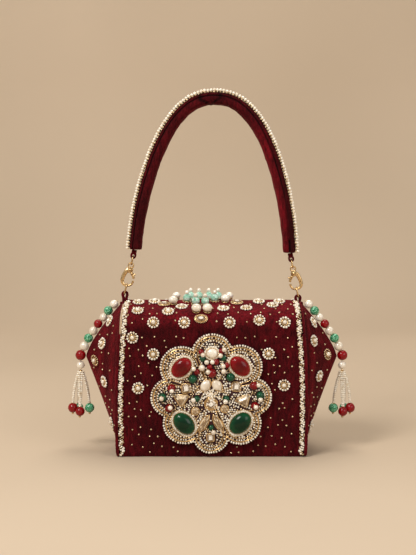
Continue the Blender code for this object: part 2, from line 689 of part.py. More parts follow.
def lobed_radius(angle, inset=0.0):
    """How far the scalloped outline reaches from the medallion's centre at an angle."""
    reach = 0.0
    along = Vector((math.cos(angle), math.sin(angle)))
    for x, z, radius in LOBES:
        centre = Vector((x, z)) * MM
        middle = along.dot(centre)
        inside = (radius * MM - inset) ** 2 - (centre.length_squared - middle**2)
        if inside > 0:
            reach = max(reach, middle + math.sqrt(inside))
    return reach


def plate_between(bm, outer, inner, low, high):
    """A flat plate, or a flat ring when inner is given, between two heights along +Z."""
    count = len(outer)
    rings = [[bm.verts.new((x, y, z)) for x, y in outer] for z in (low, high)]
    holes = [[bm.verts.new((x, y, z)) for x, y in inner] for z in (low, high)] if inner else None
    for k in range(count):
        n = (k + 1) % count
        bm.faces.new((rings[0][k], rings[0][n], rings[1][n], rings[1][k]))
        if holes:
            bm.faces.new((holes[0][n], holes[0][k], holes[1][k], holes[1][n]))
            bm.faces.new((rings[1][k], rings[1][n], holes[1][n], holes[1][k]))
            bm.faces.new((rings[0][n], rings[0][k], holes[0][k], holes[0][n]))
    if not holes:
        bm.faces.new(rings[1])
        bm.faces.new(list(reversed(rings[0])))


def outline(inset=0.0):
    points = []
    for k in range(OUTLINE_POINTS):
        angle = 2 * math.pi * k / OUTLINE_POINTS
        reach = lobed_radius(angle) - inset
        points.append((reach * math.cos(angle), reach * math.sin(angle)))
    return points


def oval(x, y, length, width, turn, sides):
    points = []
    for k in range(sides):
        angle = 2 * math.pi * k / sides
        spot = Matrix.Rotation(turn, 2) @ Vector((length / 2 * math.cos(angle), width / 2 * math.sin(angle)))
        points.append((x + spot.x, y + spot.y))
    return points


def to_front(bm, y):
    """Stands a shape drawn in XY up on the front: X stays, Y becomes height, Z points forward."""
    bmesh.ops.rotate(bm, cent=(0, 0, 0), matrix=Matrix.Rotation(math.pi / 2, 3, "X"), verts=bm.verts)
    bmesh.ops.translate(bm, vec=(MEDALLION_CENTRE[0], y, MEDALLION_CENTRE[1]), verts=bm.verts)


def medallion_patch():
    """The scalloped patch with its raised rim, the frames round the large stones and the minor stones."""
    bm = bmesh.new()
    plate_between(bm, outline(), None, 0, PATCH_THICKNESS)
    to_front(bm, PATCH_FACE_Y + PATCH_THICKNESS)
    patch = add_object("medallion_patch", as_mesh(bm, "medallion_patch", smooth=False), "beadwork")
    sink = PATCH_THICKNESS / 2
    rim = bmesh.new()
    plate_between(rim, outline(GAP), outline(RIM_WIDTH), -sink, RIM_HEIGHT)
    to_front(rim, PATCH_FACE_Y)
    unite(patch, as_mesh(rim, "rim", smooth=False), "rim")
    frames = bmesh.new()
    for _, x, z, length, width, turn, _, _ in STONES[:5]:
        place = (x * MM, z * MM)
        hole = oval(*place, length * MM + 2 * GAP, width * MM + 2 * GAP, math.radians(turn), CABOCHON_SIDES)
        grow = 2 * (FRAME_WIDTH + GAP)
        edge = oval(*place, length * MM + grow, width * MM + grow, math.radians(turn), CABOCHON_SIDES)
        plate_between(frames, edge, hole, -sink, FRAME_HEIGHT)
    to_front(frames, PATCH_FACE_Y)
    unite(patch, as_mesh(frames, "frames", smooth=False), "frames")
    minor = bmesh.new()
    for x, z, size in MINOR_STONES:
        radius = size * MM
        height = sink + radius * MINOR_RISE
        drum(minor, (x * MM, z * MM, -sink), (0, 0, 1), radius, radius * MINOR_TAPER, height, MINOR_SIDES)
    to_front(minor, PATCH_FACE_Y)
    unite(patch, as_mesh(minor, "minor_stones", smooth=False), "minor_stones", own_overlaps=True)


def stone(name, x, z, length, width, turn, height, material):
    bm = bmesh.new()
    dome(bm, length * MM, width * MM, height * MM, CABOCHON_SIDES)
    bmesh.ops.rotate(bm, cent=(0, 0, 0), matrix=Matrix.Rotation(math.radians(turn), 3, "Z"), verts=bm.verts)
    bmesh.ops.translate(bm, vec=(x * MM, z * MM, GAP), verts=bm.verts)
    to_front(bm, PATCH_FACE_Y)
    add_object(name, as_mesh(bm, name), material)


# Bead strings and tassels


def ridge_normal(height):
    """The ridge's outward normal in the XZ plane, for the right-hand end."""
    run = ridge_x(height + MM) - ridge_x(height - MM)
    return Vector((2 * MM, 0, -run)).normalized()


def string_centres():
    """Bead centres down the right-hand ridge, each bead touching the ridge and its neighbours. They are
    found from the end's tip upwards, so that the tassel always hangs clear of the end."""
    centres = []
    height = TIP_HEIGHT + STRING_END_RISE
    previous = None
    for radius in reversed(STRING_RADII):
        while True:
            foot = Vector((ridge_x(height), 0, height))
            centre = foot + ridge_normal(height) * (radius + GAP)
            if previous is None or (centre - previous[0]).length >= previous[1] + radius - BEAD_OVERLAP:
                break
            height += STRING_SEARCH_STEP
        centres.append(centre)
        previous = (centre, radius)
    return list(reversed(centres))


def mirrored(point, side):
    return Vector((side * point[0], point[1], point[2]))


def bead_string(name, side):
    """Beads threaded on a cord down the ridge. Neighbours overlap a little, so every second one is
    joined in its own step."""
    centres = [mirrored(centre, side) for centre in string_centres()]
    made = add_object(
        f"bead_string_{name}", tube_mesh("cord", centres, STRING_CORD_RADIUS), "pearl"
    )
    for start in (0, 1):
        bm = bmesh.new()
        for centre, radius in list(zip(centres, STRING_RADII))[start::2]:
            ball(bm, centre, radius)
        unite(made, as_mesh(bm, "beads"), f"beads_{start}")


def tassel(name, side):
    """A pearl hung from the string's last bead, and four strands hung from the pearl."""
    last = mirrored(string_centres()[-1], side)
    hook = last - Vector((0, 0, STRING_RADII[-1] + GAP / 2))
    swing = add_empty(f"tassel_{name}_swing", hook)
    bm = bmesh.new()
    ball(bm, (0, 0, -GAP / 2 - TASSEL_PEARL_RADIUS), TASSEL_PEARL_RADIUS, 8, 6)
    add_object(f"tassel_pearl_{name}", as_mesh(bm, "tassel_pearl"), "pearl", swing)
    hang = add_empty(f"tassel_{name}_hang", (0, 0, -GAP - 2 * TASSEL_PEARL_RADIUS), swing)
    knot = bmesh.new()
    ball(knot, (0, 0, -GAP / 2 - KNOT_RADIUS), KNOT_RADIUS, 8, 6)
    made = add_object(f"tassel_strands_{name}", as_mesh(knot, "tassel_knot"), "beadwork", hang)
    for k, (out, front, drop, radius) in enumerate(STRAND_ENDS, 1):
        end = Vector((side * out, -front, -drop)) * MM
        start = Vector((0, 0, -GAP - KNOT_RADIUS))
        bend = start.lerp(end, 0.5) + Vector((side * out, -front, 0)) * (STRAND_BOW * MM)
        unite(made, tube_mesh("strand", [start, bend, end], STRAND_RADIUS), f"strand_{k}")
        bead = bmesh.new()
        ball(bead, end, radius * MM)
        unite(made, as_mesh(bead, "end_bead"), f"end_bead_{k}")


# Handle


def oval_ring(bottom, length):
    """A round-ended ring in the YZ plane, its lowest wire centre at this height."""
    points = []
    for centre, start in ((bottom + length - RING_HALF_WIDTH, 0), (bottom + RING_HALF_WIDTH, 180)):
        for k in range(7):
            angle = math.radians(start + 30 * k)
            points.append((0, RING_HALF_WIDTH * math.cos(angle), centre + RING_HALF_WIDTH * math.sin(angle)))
    return points


def chain_heights():
    """Heights up the chain from the pivot, each ring pulled tight against the next."""
    lower_bottom = -(LOOP_CORD_RADIUS + RING_WIRE + GAP)
    lower_top = lower_bottom + LOWER_RING_LENGTH
    clasp_bottom = lower_top - RING_WIRE - CLASP_WIRE - GAP
    plate = clasp_bottom + CLASP_LENGTH
    eye = plate + PLATE_RADIUS + EYE_RADIUS - CLASP_WIRE / 2
    upper_bottom = eye + EYE_RADIUS - EYE_WIRE - RING_WIRE - GAP
    upper_top = upper_bottom + UPPER_RING_LENGTH
    tab_bottom = upper_top - RING_WIRE - TAB_RADIUS - GAP
    tab_top = tab_bottom + TAB_BEND + TAB_LEG
    return {
        "lower_ring": lower_bottom, "clasp": clasp_bottom, "plate": plate, "eye": eye,
        "upper_ring": upper_bottom, "tab": tab_bottom, "tab_top": tab_top,
    }


CHAIN = chain_heights()
# Above the pivot: the leaned tab's highest corner, and the gap to the strap's end
STRAP_FOOT = CHAIN["tab_top"] * math.cos(CHAIN_LEAN) + (TAB_BEND + TAB_RADIUS) * math.sin(CHAIN_LEAN) + GAP


def clasp(name, side, chain):
    """The claw, its plate and its eye in one casting. Its open side faces the middle of the bag."""
    inward = -side
    top = CHAIN["plate"]
    bottom = CHAIN["clasp"] + CLASP_HALF_WIDTH
    claw = arc((0, bottom), CLASP_HALF_WIDTH, CLAW_TIP_ANGLE, -180, 8)
    claw += [(x, 0, top + height) for x, height in CLASP_NECK]
    path = [(inward * x, y, z) for x, y, z in claw]
    made = add_object(f"clasp_{name}", tube_mesh("claw", path, CLASP_WIRE), "gold", chain)
    plate = bmesh.new()
    drum(plate, (0, -PLATE_THICKNESS / 2, top), (0, 1, 0), PLATE_RADIUS, PLATE_RADIUS, PLATE_THICKNESS, 12)
    unite(made, as_mesh(plate, "plate"), "plate")
    eye = arc((0, CHAIN["eye"]), EYE_RADIUS, 0, 360 - 360 / EYE_SIDES, EYE_SIDES - 1)
    unite(made, tube_mesh("eye", eye, EYE_WIRE, closed=True), "eye")


def clasp_lever(name, side, chain):
    """The sprung gate with its thumb spur, on its pin beside the plate."""
    inward = -side
    reach = PLATE_RADIUS + LEVER_BOSS + GAP
    pin = Vector((inward * reach * math.cos(PIN_ANGLE), 0, CHAIN["plate"] + reach * math.sin(PIN_ANGLE)))
    pivot = add_empty(f"clasp_lever_{name}_pin", pin, chain)
    tip = CHAIN["clasp"] + CLASP_HALF_WIDTH * (1 + math.sin(math.radians(CLAW_TIP_ANGLE)))
    end = Vector((inward * CLASP_HALF_WIDTH, 0, tip + CLASP_WIRE + LEVER_WIRE)) - pin
    middle = end / 2 + Vector((inward * LEVER_BOW, 0, 0))
    gate = tube_mesh("gate", [(0, 0, 0), middle, end], LEVER_WIRE)
    made = add_object(f"clasp_lever_{name}", gate, "gold", pivot)
    boss = bmesh.new()
    drum(boss, (0, -PLATE_THICKNESS / 2, 0), (0, 1, 0), LEVER_BOSS, LEVER_BOSS, PLATE_THICKNESS, 10)
    unite(made, as_mesh(boss, "boss"), "boss")
    foot = end * SPUR_SHARE
    spur = [foot, foot + Vector((inward * SPUR_REACH, 0, SPUR_RISE))]
    unite(made, tube_mesh("spur", spur, SPUR_WIRE), "spur")


def strap_tab(name, chain):
    """A velvet tab folded round the upper ring, its two ends sewn to the strap."""
    bottom = CHAIN["tab"] + TAB_BEND
    bend = arc((0, bottom), TAB_BEND, 180, 360, 6)
    points = [(-TAB_BEND, 0, CHAIN["tab_top"])] + bend + [(TAB_BEND, 0, CHAIN["tab_top"])]
    add_object(f"strap_tab_{name}", curve_data("strap_tab", points, TAB_RADIUS), "velvet_dark", chain)


def strap_line(offset=0.0, steps=STRAP_STEPS):
    """Evenly spaced points (x, z) along the arch, from right to left, moved outwards by the offset."""
    fine = []
    count = 400
    for k in range(count + 1):
        angle = math.pi * k / count
        across = math.copysign(abs(math.cos(angle)) ** (2 / STRAP_X_POWER), math.cos(angle))
        up = abs(math.sin(angle)) ** (2 / STRAP_Z_POWER)
        fine.append(Vector((STRAP_HALF_SPAN * across, STRAP_FOOT + STRAP_RISE * up)))
    lengths = [0.0]
    for a, b in zip(fine, fine[1:]):
        lengths.append(lengths[-1] + (b - a).length)
    places = []
    for k in range(steps + 1):
        want = lengths[-1] * k / steps
        index = min(bisect.bisect_right(lengths, want), count) - 1
        share = (want - lengths[index]) / (lengths[index + 1] - lengths[index])
        before, after = fine[max(index - 1, 0)], fine[min(index + 2, count)]
        along = (after - before).normalized()
        outward = Vector((along.y, -along.x))
        places.append(fine[index].lerp(fine[index + 1], share) + outward * offset)
    return places


def strap(pivot):
    """The padded band along the arch."""
    rows = []
    for place in strap_line(STRAP_THICKNESS / 2):
        rows.append([(place.x, -STRAP_WIDTH / 2, place.y), (place.x, STRAP_WIDTH / 2, place.y)])
    made = sheet("strap", rows, STRAP_THICKNESS, "velvet", pivot)
    soft = made.modifiers.new("rounded_edges", "BEVEL")
    soft.width = STRAP_THICKNESS * STRAP_ROUNDING
    soft.segments = 1
    soft.limit_method = "ANGLE"
    soft.angle_limit = math.radians(60)


def strap_pearls(pivot):
    """The rows of pearls across the strap's outer face, as a band with a rib for each row."""
    inside = STRAP_THICKNESS / 2 + GAP
    half = PEARL_ROWS_WIDTH / 2
    inner = strap_line(inside, 2 * PEARL_ROWS)
    outer = strap_line(inside + PEARL_ROWS_THICKNESS, 2 * PEARL_ROWS)
    bm = bmesh.new()
    rings = []
    for k, (low, high) in enumerate(zip(inner, outer)):
        top = high if k % 2 else high.lerp(low, RIB_SHARE)
        edge = top.lerp(low, RIB_EDGE_SHARE)
        section = [
            (low, -half), (low, half), (edge, half), (top, half - RIB_EDGE), (top, RIB_EDGE - half), (edge, -half),
        ]
        rings.append([bm.verts.new((place.x, y, place.y)) for place, y in section])
    loft(bm, rings)
    bmesh.ops.recalc_face_normals(bm, faces=bm.faces)
    add_object("strap_pearls", as_mesh(bm, "strap_pearls", smooth=False), "beadwork", pivot)


def handle():
    """Everything that swings on the two loops, built upright and leaned as it stands in the photograph."""
    pivot = add_empty("handle_axis", (0, 0, PIVOT_HEIGHT), turn=HANDLE_LEAN)
    strap(pivot)
    strap_pearls(pivot)
    for name, side in SIDES.items():
        chain = add_empty(f"chain_{name}", (side * PIVOT_X, 0, 0), pivot, -side * CHAIN_LEAN)
        for ring, length in (("lower_ring", LOWER_RING_LENGTH), ("upper_ring", UPPER_RING_LENGTH)):
            wire = curve_data(ring, oval_ring(CHAIN[ring], length), RING_WIRE, closed=True)
            add_object(f"{ring}_{name}", wire, "gold", chain)
        clasp(name, side, chain)
        clasp_lever(name, side, chain)
        strap_tab(name, chain)


def build():
    velvet_cover()
    base_board()
    lining()
    medallion_patch()
    for values in STONES:
        stone(*values)
    for name, side in SIDES.items():
        gusset(name, side)
        piping(name, side)
        wall_trim(f"trim_front_{name}", side, -1)
        wall_trim(f"trim_rear_{name}", side, 1)
        strap_loop(name, side)
        bead_string(name, side)
        tassel(name, side)
    front = flap("front_flap", -1, FRONT_ROOF_ROSETTES)
    rear = flap("rear_flap", 1, REAR_ROOF_ROSETTES)
    magnet("front_magnet", -1, front)
    magnet("rear_magnet", 1, rear)
    for k, (x, distance) in enumerate(FRONT_COMB, 1):
        mint_bead(f"mint_bead_front_{k}", -1, x * MM, distance * MM, front)
    for k, (x, distance) in enumerate(REAR_COMB, 1):
        mint_bead(f"mint_bead_rear_{k}", 1, x * MM, distance * MM, rear)
    for name, x, distance, radius in ROOF_PEARLS:
        roof_pearl(name, -1, x * MM, distance * MM, radius * MM, front)
    for name, x, distance, radius in REAR_PEARLS:
        roof_pearl(name, 1, x * MM, distance * MM, radius * MM, rear)
    top_crystal(front)
    handle()


build()
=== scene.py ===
import math
import random

import bmesh
import bpy
from mathutils import Matrix, Vector, noise


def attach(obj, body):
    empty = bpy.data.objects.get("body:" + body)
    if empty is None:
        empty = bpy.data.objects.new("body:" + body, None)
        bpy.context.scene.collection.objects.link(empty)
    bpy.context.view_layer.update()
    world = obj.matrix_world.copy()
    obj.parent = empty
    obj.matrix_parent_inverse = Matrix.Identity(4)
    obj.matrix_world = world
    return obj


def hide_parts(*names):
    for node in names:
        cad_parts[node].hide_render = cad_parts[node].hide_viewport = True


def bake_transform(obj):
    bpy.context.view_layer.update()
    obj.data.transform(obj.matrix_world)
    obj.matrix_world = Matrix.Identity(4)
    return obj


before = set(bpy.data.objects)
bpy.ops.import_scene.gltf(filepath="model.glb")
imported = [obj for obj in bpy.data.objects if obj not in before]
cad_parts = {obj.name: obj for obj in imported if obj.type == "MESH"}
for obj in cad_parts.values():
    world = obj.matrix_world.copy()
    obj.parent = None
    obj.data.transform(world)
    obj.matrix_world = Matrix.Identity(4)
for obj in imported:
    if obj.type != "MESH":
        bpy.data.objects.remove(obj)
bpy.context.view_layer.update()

MM = 0.001
GAP = 0.3 * MM

# Body of the bag, as in the part's source
HALF_DEPTH = 42 * MM
BASE_HALF_WIDTH = 93 * MM
WIDEST_HALF_WIDTH = 94.1 * MM
WIDEST_HEIGHT = 45 * MM
CREASE_HALF_WIDTH = 90.3 * MM
CLOSURE_HALF_WIDTH = 88.5 * MM
CREASE_HEIGHT = 130 * MM
SHOULDER_RADIUS = 20 * MM
ROOF_SLOPE = math.radians(16)
LIP_GAP = 0.6 * MM
NOTCH_DEPTH = 4 * MM
NOTCH_LENGTH = 4.6 * MM
NOTCH_RAMP = 2.4 * MM
RIDGE_BASE_X = 98 * MM
RIDGE_TIP_X = 131 * MM
RIDGE_TOP_X = 93.5 * MM
TIP_HEIGHT = 97 * MM
RIDGE_TOP_DROP = 3.9 * MM
LOWER_RIDGE_POWER = 1.15
UPPER_RIDGE_POWER = 1.35
GUSSET_CROWN = 1.15
GUSSET_SETBACK = 1.5 * MM
GUSSET_TOP_HALF = 4 * MM
SEAM_STEP = 2.4 * MM
PIPING_RADIUS = 1.7 * MM
EAR_REACH = 5.2 * MM
EAR_HALF_DEPTH = 3.2 * MM
EAR_HEIGHT = 3.6 * MM
EAR_RISE = 1 * MM
TRIM_INSET = 1.8 * MM

# Rosettes as (x, distance from the crease) on the roof and (x, height) on the walls, in millimetres
ROOF_ROSETTES = {
    "front": [
        (-75, 22), (-44, 20.8), (-30.6, 31.8), (12, 27), (35.5, 28.3), (62.5, 35.8), (-58.7, 7.6),
        (-27.6, 7.6), (18, 7.6), (48.2, 10), (73.7, 7.6), (-75.3, 44), (-59, 46), (49, 46), (70, 46),
    ],
    "rear": [
        (-64, 10), (-32, 10), (0, 10), (32, 10), (64, 10), (-48, 32), (-16, 32), (16, 32), (48, 32),
    ],
}
WALL_ROSETTES = {
    "front": [(-79.8, 122.5), (-58.8, 105.6), (-74.2, 71), (57.4, 106.2), (73.3, 74)],
    "rear": [
        (-60, 106), (0, 106), (60, 106), (-74, 72), (-28, 72), (28, 72), (74, 72),
        (-60, 36), (0, 36), (60, 36),
    ],
}
# Rosettes on the ends as (height in millimetres, share of the way from the ridge to the front edge, framed)
END_ROSETTES = {
    "left": [(134, 0.36, False), (113, 0.46, False), (95, 0.34, True), (74, 0.52, False), (31, 0.48, False)],
    "right": [(133, 0.4, False), (117, 0.68, False), (101, 0.36, True), (80, 0.55, False), (28, 0.42, False)],
}

# Medallion, in millimetres from its centre
MEDALLION_CENTRE = Vector((-0.4 * MM, 0, 65.3 * MM))
PATCH_THICKNESS = 3 * MM
PATCH_FACE_Y = -HALF_DEPTH - GAP - PATCH_THICKNESS
LOBES = [
    (1.2, 41, 20.9), (-29.6, 26.8, 22.3), (-41, -3.5, 20.4), (-27.2, -29.6, 21.8), (-0.2, -42.4, 18.5),
    (29.2, -30, 21.8), (41.5, -2.6, 19.9), (29.2, 27.8, 22.7),
]
# (name, x, height, length, width, turn in degrees, rise)
CABOCHONS = {
    "ruby": [
        ("red_cabochon_left", -29.9, 27.2, 23, 16.5, 44, 6),
        ("red_cabochon_right", 29, 28.6, 23, 16.5, -46, 6),
    ],
    "emerald": [
        ("green_cabochon_left", -27.4, -29.9, 25, 18, -47, 7),
        ("green_cabochon_right", 29.4, -29.6, 25, 18, 46, 7),
    ],
}
WHITE_OVAL = ("white_oval_stone", 0.9, 41.8, 12, 10, 0, 4)
MARQUISES = [
    ("marquise_crystal_left", -7.1, -30, 20.5, 7, 60, 4),
    ("marquise_crystal_right", 7.1, -30, 20.5, 7, -60, 4),
]
CENTRE_SQUARE = ("centre_crystal", -0.2, -9.7, 8.4, 45, 4)
SQUARES = [("side_square_left", -25.3, 6, 8.6, 8, 3.4), ("side_square_right", 25.4, 7.9, 8.6, -6, 3.4),
           ("foot_square", -0.7, -44.5, 7.2, 3, 3.2)]
TRIANGLES = [("triangle_left", -30.1, -7.3, 17, 13, 0, 3.6), ("triangle_right", 33.6, -8.3, 17, 13, 20, 3.6)]
DROPS = [("drop_left", -5.6, 9, 12.4, 9.6, 52, 3.6), ("drop_right", 6, 9, 12.4, 9.6, -52, 3.6)]
PALE_ROUNDS = [("pale_round_left", -16, -17.3, 3.6), ("pale_round_right", 13.6, -14.9, 3.6)]
# Round beads sewn among the stones: (x, height, radius)
PATCH_BEADS = {
    "ruby": [
        (-40, 6.4, 4.2), (-42.4, -14.1, 4.2), (43, 8.8, 4.3), (44.2, -12, 4.2), (-10.1, 43, 2.9),
        (5, 33.2, 3.2), (-1.6, 28.2, 3), (-14.4, 23, 3.2), (0.8, 21.6, 4.6), (10.1, 43.9, 2.8),
        (15.8, 29.7, 3.2),
    ],
    "emerald": [
        (-49, -3.2, 4.2), (49.6, -1.1, 4.2), (-8.7, 36.3, 3), (12.3, 36.8, 3), (-18.5, 15.5, 4.3),
        (19.5, 17.5, 4.3), (-14.4, -4.6, 3.2), (15.4, -4.6, 3.2), (0, -34, 2.8),
    ],
    "pearl": [
        (-39.6, 4, 2.3), (-50, -3.6, 2.4), (-41.2, -13, 2.4), (47.7, 9.6, 2.4), (49.6, -4.9, 2.5),
        (45, -12.4, 2.4), (-8.4, 40.4, 2.3), (-4.6, 33, 2.4), (1.2, 33.2, 2.4), (-9.4, 27.4, 3.3),
        (-17.7, 26.3, 2.4), (-3.2, 23.2, 2.5), (13.2, 45.6, 2.4), (9.4, 39.7, 2.4), (12.2, 29, 2.4),
        (12.6, 23.6, 2.7), (-18, -5.7, 2.5), (14.4, -7, 2.5), (2.3, -38.6, 2.4),
    ],
}
# How far a coloured bead's centre lies over the patch, as a share of its radius, and a pearl's centre
BEAD_SEAT = 0.3
PEARL_RISE = 3.4

# Beads on the roof, as (x, distance from the crease), in millimetres
MINT_BEADS = {
    "front": [(-25.3, 47.4), (-16.3, 39.4), (-6.4, 38.4), (3.4, 47.9)],
    "rear": [(-21.7, 49), (-13, 49), (-2.8, 49), (6.9, 49)],
}
MINT_RADIUS = 4 * MM
FINIAL_RADIUS = 2.2 * MM
# (name, x, distance from the crease, radius)
ROOF_PEARLS = {
    "front": [
        ("end_pearl_front_left", -39.4, 39.5, 4.8), ("end_pearl_front_right", 14.2, 45, 4.6),
        ("large_pearl_left", -15.4, 21, 5), ("large_pearl_right", -4.2, 21, 5),
    ],
    "rear": [("end_pearl_rear_left", -36.7, 48.5, 4.4), ("end_pearl_rear_right", 18.6, 48.5, 4.4)],
}
TOP_CRYSTAL = (-10.7, 11.4, 9.6, 5.6, 3)
FRAMED_OVALS = [(-48.8, 38.7, 8.4, 6.4, 2.6), (26.2, 42.8, 8.4, 6.4, 2.6)]

# Bead strings and tassels
STRING_RADII = [4.5, 4.75, 4.25, 4.65, 4.5, 4.85, 4.9, 5.5]
STRING_ORDER = ["pearl", "emerald", "pearl", "ruby", "pearl", "emerald", "pearl", "ruby"]
STRING_END_RISE = 0.6 * MM
BEAD_OVERLAP = 0.2 * MM
TASSEL_PEARL_RADIUS = 4.5 * MM
PEARL_CLEARANCE = 0.2 * MM
KNOT_RADIUS = 1.8 * MM
STRAND_BOW = 0.12
# Each strand's end bead: (outward, forward, drop below the pearl, radius, kind), in millimetres
STRANDS = [
    (-9, 1.5, 40.5, 5, "emerald"), (0.6, 5.5, 43.5, 5, "ruby"), (8.6, 1, 40.5, 5.2, "ruby"),
    (3, -6.5, 41.5, 4.6, "emerald"),
]

# Handle
PIVOT_X = 90 * MM
LOOP_RISE = 8.3 * MM
HANDLE_LEAN = math.radians(1.2)
CHAIN_LEAN = math.radians(12)
LOOP_BEND = 3.2 * MM
RING_HALF_WIDTH = 3.5 * MM
RING_WIRE = 0.75 * MM
LOWER_RING = (-2.55 * MM, 11.5 * MM)
UPPER_RING = (29.1 * MM, 9.5 * MM)
CLAW_BOTTOM = 6.8 * MM
CLAW_HALF_WIDTH = 5.6 * MM
CLAW_WIRE = 1.1 * MM
CLAW_NECK = [(-5.15 * MM, -7.4 * MM), (-3.2 * MM, -2 * MM), (-0.6 * MM, 0)]
CLAW_TIP_ANGLE = 10
PLATE_HEIGHT = 23.8 * MM
PLATE_RADIUS = 2.6 * MM
PLATE_THICKNESS = 2.6 * MM
EYE_HEIGHT = 28.45 * MM
EYE_RADIUS = 2.6 * MM
EYE_WIRE = 0.9 * MM
LEVER_REACH = 4.4 * MM
LEVER_ANGLE = math.radians(-50)
TAB_BOTTOM = 36.45 * MM
TAB_TOP = 44.95 * MM
TAB_BEND = 2.1 * MM
STRAP_FOOT = 44.93 * MM
STRAP_HALF_SPAN = 79.8 * MM
STRAP_RISE = 156.4 * MM
STRAP_X_POWER = 2.3
STRAP_Z_POWER = 1.5
STRAP_WIDTH = 22 * MM
STRAP_THICKNESS = 13 * MM
PEARL_ROWS = 132

FACES = {"front": -1, "rear": 1}
SIDES = {"left": -1, "right": 1}
UP = Vector((0, 0, 1))
FORWARD = Vector((0, -1, 0))
DEPTH = Vector((0, 1, 0))
RIGHT = Vector((1, 0, 0))


# Node trees: what the shader groups and the bead makers share


def feed(tree, socket, value):
    """Links a socket to another one, or sets its value."""
    if isinstance(value, bpy.types.NodeSocket):
        tree.links.new(value, socket)
    else:
        socket.default_value = value


def put(tree, kind, inputs=None, **options):
    """Adds a node with options of its own, and with values or links on its inputs."""
    made = tree.nodes.new(kind)
    for option, value in options.items():
        setattr(made, option, value)
    for label, value in (inputs or {}).items():
        feed(tree, made.inputs[label], value)
    return made


def typed(sockets, name, kind):
    """The socket of this kind, where a node has several of one name."""
    return next(socket for socket in sockets if socket.name == name and socket.type == kind)


def open_group(name, kind, inputs):
    """A node group with these inputs, as {name: kind}, and the sockets that they come in by."""
    tree = bpy.data.node_groups.new(name, f"{kind}NodeTree")
    for label, socket_kind in inputs.items():
        tree.interface.new_socket(label, in_out="INPUT", socket_type=f"NodeSocket{socket_kind}")
    return tree, tree.nodes.new("NodeGroupInput").outputs


def close_group(tree, **outputs):
    for label in outputs:
        kind = label if label in ("Color", "Geometry") else "Float"
        tree.interface.new_socket(label, in_out="OUTPUT", socket_type=f"NodeSocket{kind}")
    put(tree, "NodeGroupOutput", outputs)
    return tree


# Shader groups shared by the finishes


def noise_value(tree, scale, detail=2.0, stretch=(1, 1, 1)):
    """Noise on Object coordinates, at this many features a metre."""
    place = put(tree, "ShaderNodeTexCoord").outputs["Object"]
    turn = put(tree, "ShaderNodeMapping", {"Vector": place, "Scale": stretch}).outputs["Vector"]
    return put(tree, "ShaderNodeTexNoise", {"Vector": turn, "Scale": scale, "Detail": detail}).outputs["Fac"]


def attribute(tree, name):
    return put(tree, "ShaderNodeAttribute", attribute_name=name).outputs["Fac"]


def spread(tree, source, low, high, to_low=0.0, to_high=1.0):
    """Maps a value from one range to another, held at both ends."""
    return put(tree, "ShaderNodeMapRange", {
        "Value": source, "From Min": low, "From Max": high, "To Min": to_low, "To Max": to_high,
    }).outputs["Result"]


def blend_colours(tree, factor, first, second):
    made = put(tree, "ShaderNodeMix", {"Factor": factor}, data_type="RGBA")
    feed(tree, typed(made.inputs, "A", "RGBA"), first)
    feed(tree, typed(made.inputs, "B", "RGBA"), second)
    return typed(made.outputs, "Result", "RGBA")


def calculate(tree, operation, first, second):
    return put(tree, "ShaderNodeMath", {0: first, 1: second}, operation=operation).outputs["Value"]


def plus(tree, first, second):
    return calculate(tree, "ADD", first, second)


def times(tree, first, second):
    return calculate(tree, "MULTIPLY", first, second)


def pile_group():
    """Velvet: broad patches of brushed nap, streaks along it and the fine pile. The attribute shade is painted
    shade that darkens it, and below 0 painted light that brightens it."""
    tree, entry = open_group("velvet pile", "Shader", {
        "Deep": "Color", "Bright": "Color", "Nap size": "Float", "Pile size": "Float",
    })
    patches = spread(tree, noise_value(tree, entry["Nap size"], 4, (1, 1, 0.45)), 0.3, 0.72)
    brushed = spread(tree, noise_value(tree, 420, 3, (1, 1, 0.3)), 0.32, 0.7)
    pile = noise_value(tree, entry["Pile size"], 2, (1, 1, 0.6))
    tips = spread(tree, pile, 0.35, 0.72)
    lit = times(tree, plus(tree, brushed, 0.25), plus(tree, patches, 0.3))
    grain = plus(tree, times(tree, lit, 0.42), times(tree, tips, 0.2))
    # Painted shade: the attribute shade darkens the velvet, and below 0 painted light brightens it.
    share = times(tree, grain, calculate(tree, "SUBTRACT", 1.0, attribute(tree, "shade")))
    return close_group(
        tree, Color=blend_colours(tree, share, entry["Deep"], entry["Bright"]),
        Roughness=spread(tree, pile, 0.2, 0.8, 0.95, 0.72), Height=plus(tree, tips, brushed),
    )


def lustre_group():
    """Pearl and bead coats: a slow drift between two tones, and small pits and scuffs."""
    tree, entry = open_group("bead coat", "Shader", {
        "Tone": "Color", "Shade": "Color", "Drift size": "Float",
    })
    drift = spread(tree, noise_value(tree, entry["Drift size"]), 0.38, 0.68)
    pits = noise_value(tree, 1500)
    return close_group(
        tree, Color=blend_colours(tree, drift, entry["Tone"], entry["Shade"]),
        Roughness=spread(tree, pits, 0.3, 0.8, 0.14, 0.34), Height=pits,
    )


def plating_group():
    """Gold plating: worn patches of darker, rougher gold at random, and fine rubbing."""
    tree, entry = open_group("gold plating", "Shader", {"Plate": "Color", "Worn": "Color"})
    wear = noise_value(tree, 420, 3)
    return close_group(
        tree, Color=blend_colours(tree, spread(tree, wear, 0.42, 0.72), entry["Plate"], entry["Worn"]),
        Roughness=spread(tree, wear, 0.3, 0.75, 0.16, 0.38), Height=noise_value(tree, 2600, 2, (1, 1, 0.2)),
    )


def depth_group():
    """Glass stones: dark in the middle, lighter at the rim, as light gathers in the real ones, with haze."""
    tree, entry = open_group("stone depth", "Shader", {"Middle": "Color", "Rim": "Color"})
    haze = noise_value(tree, 240, 3)
    cloud = times(tree, spread(tree, haze, 0.3, 0.7, -0.5, 0.5), 0.35)
    share = spread(tree, plus(tree, attribute(tree, "rim"), cloud), 0.05, 1.0)
    return close_group(
        tree, Color=blend_colours(tree, share, entry["Middle"], entry["Rim"]),
        Roughness=spread(tree, haze, 0.3, 0.8, 0.12, 0.22),
    )


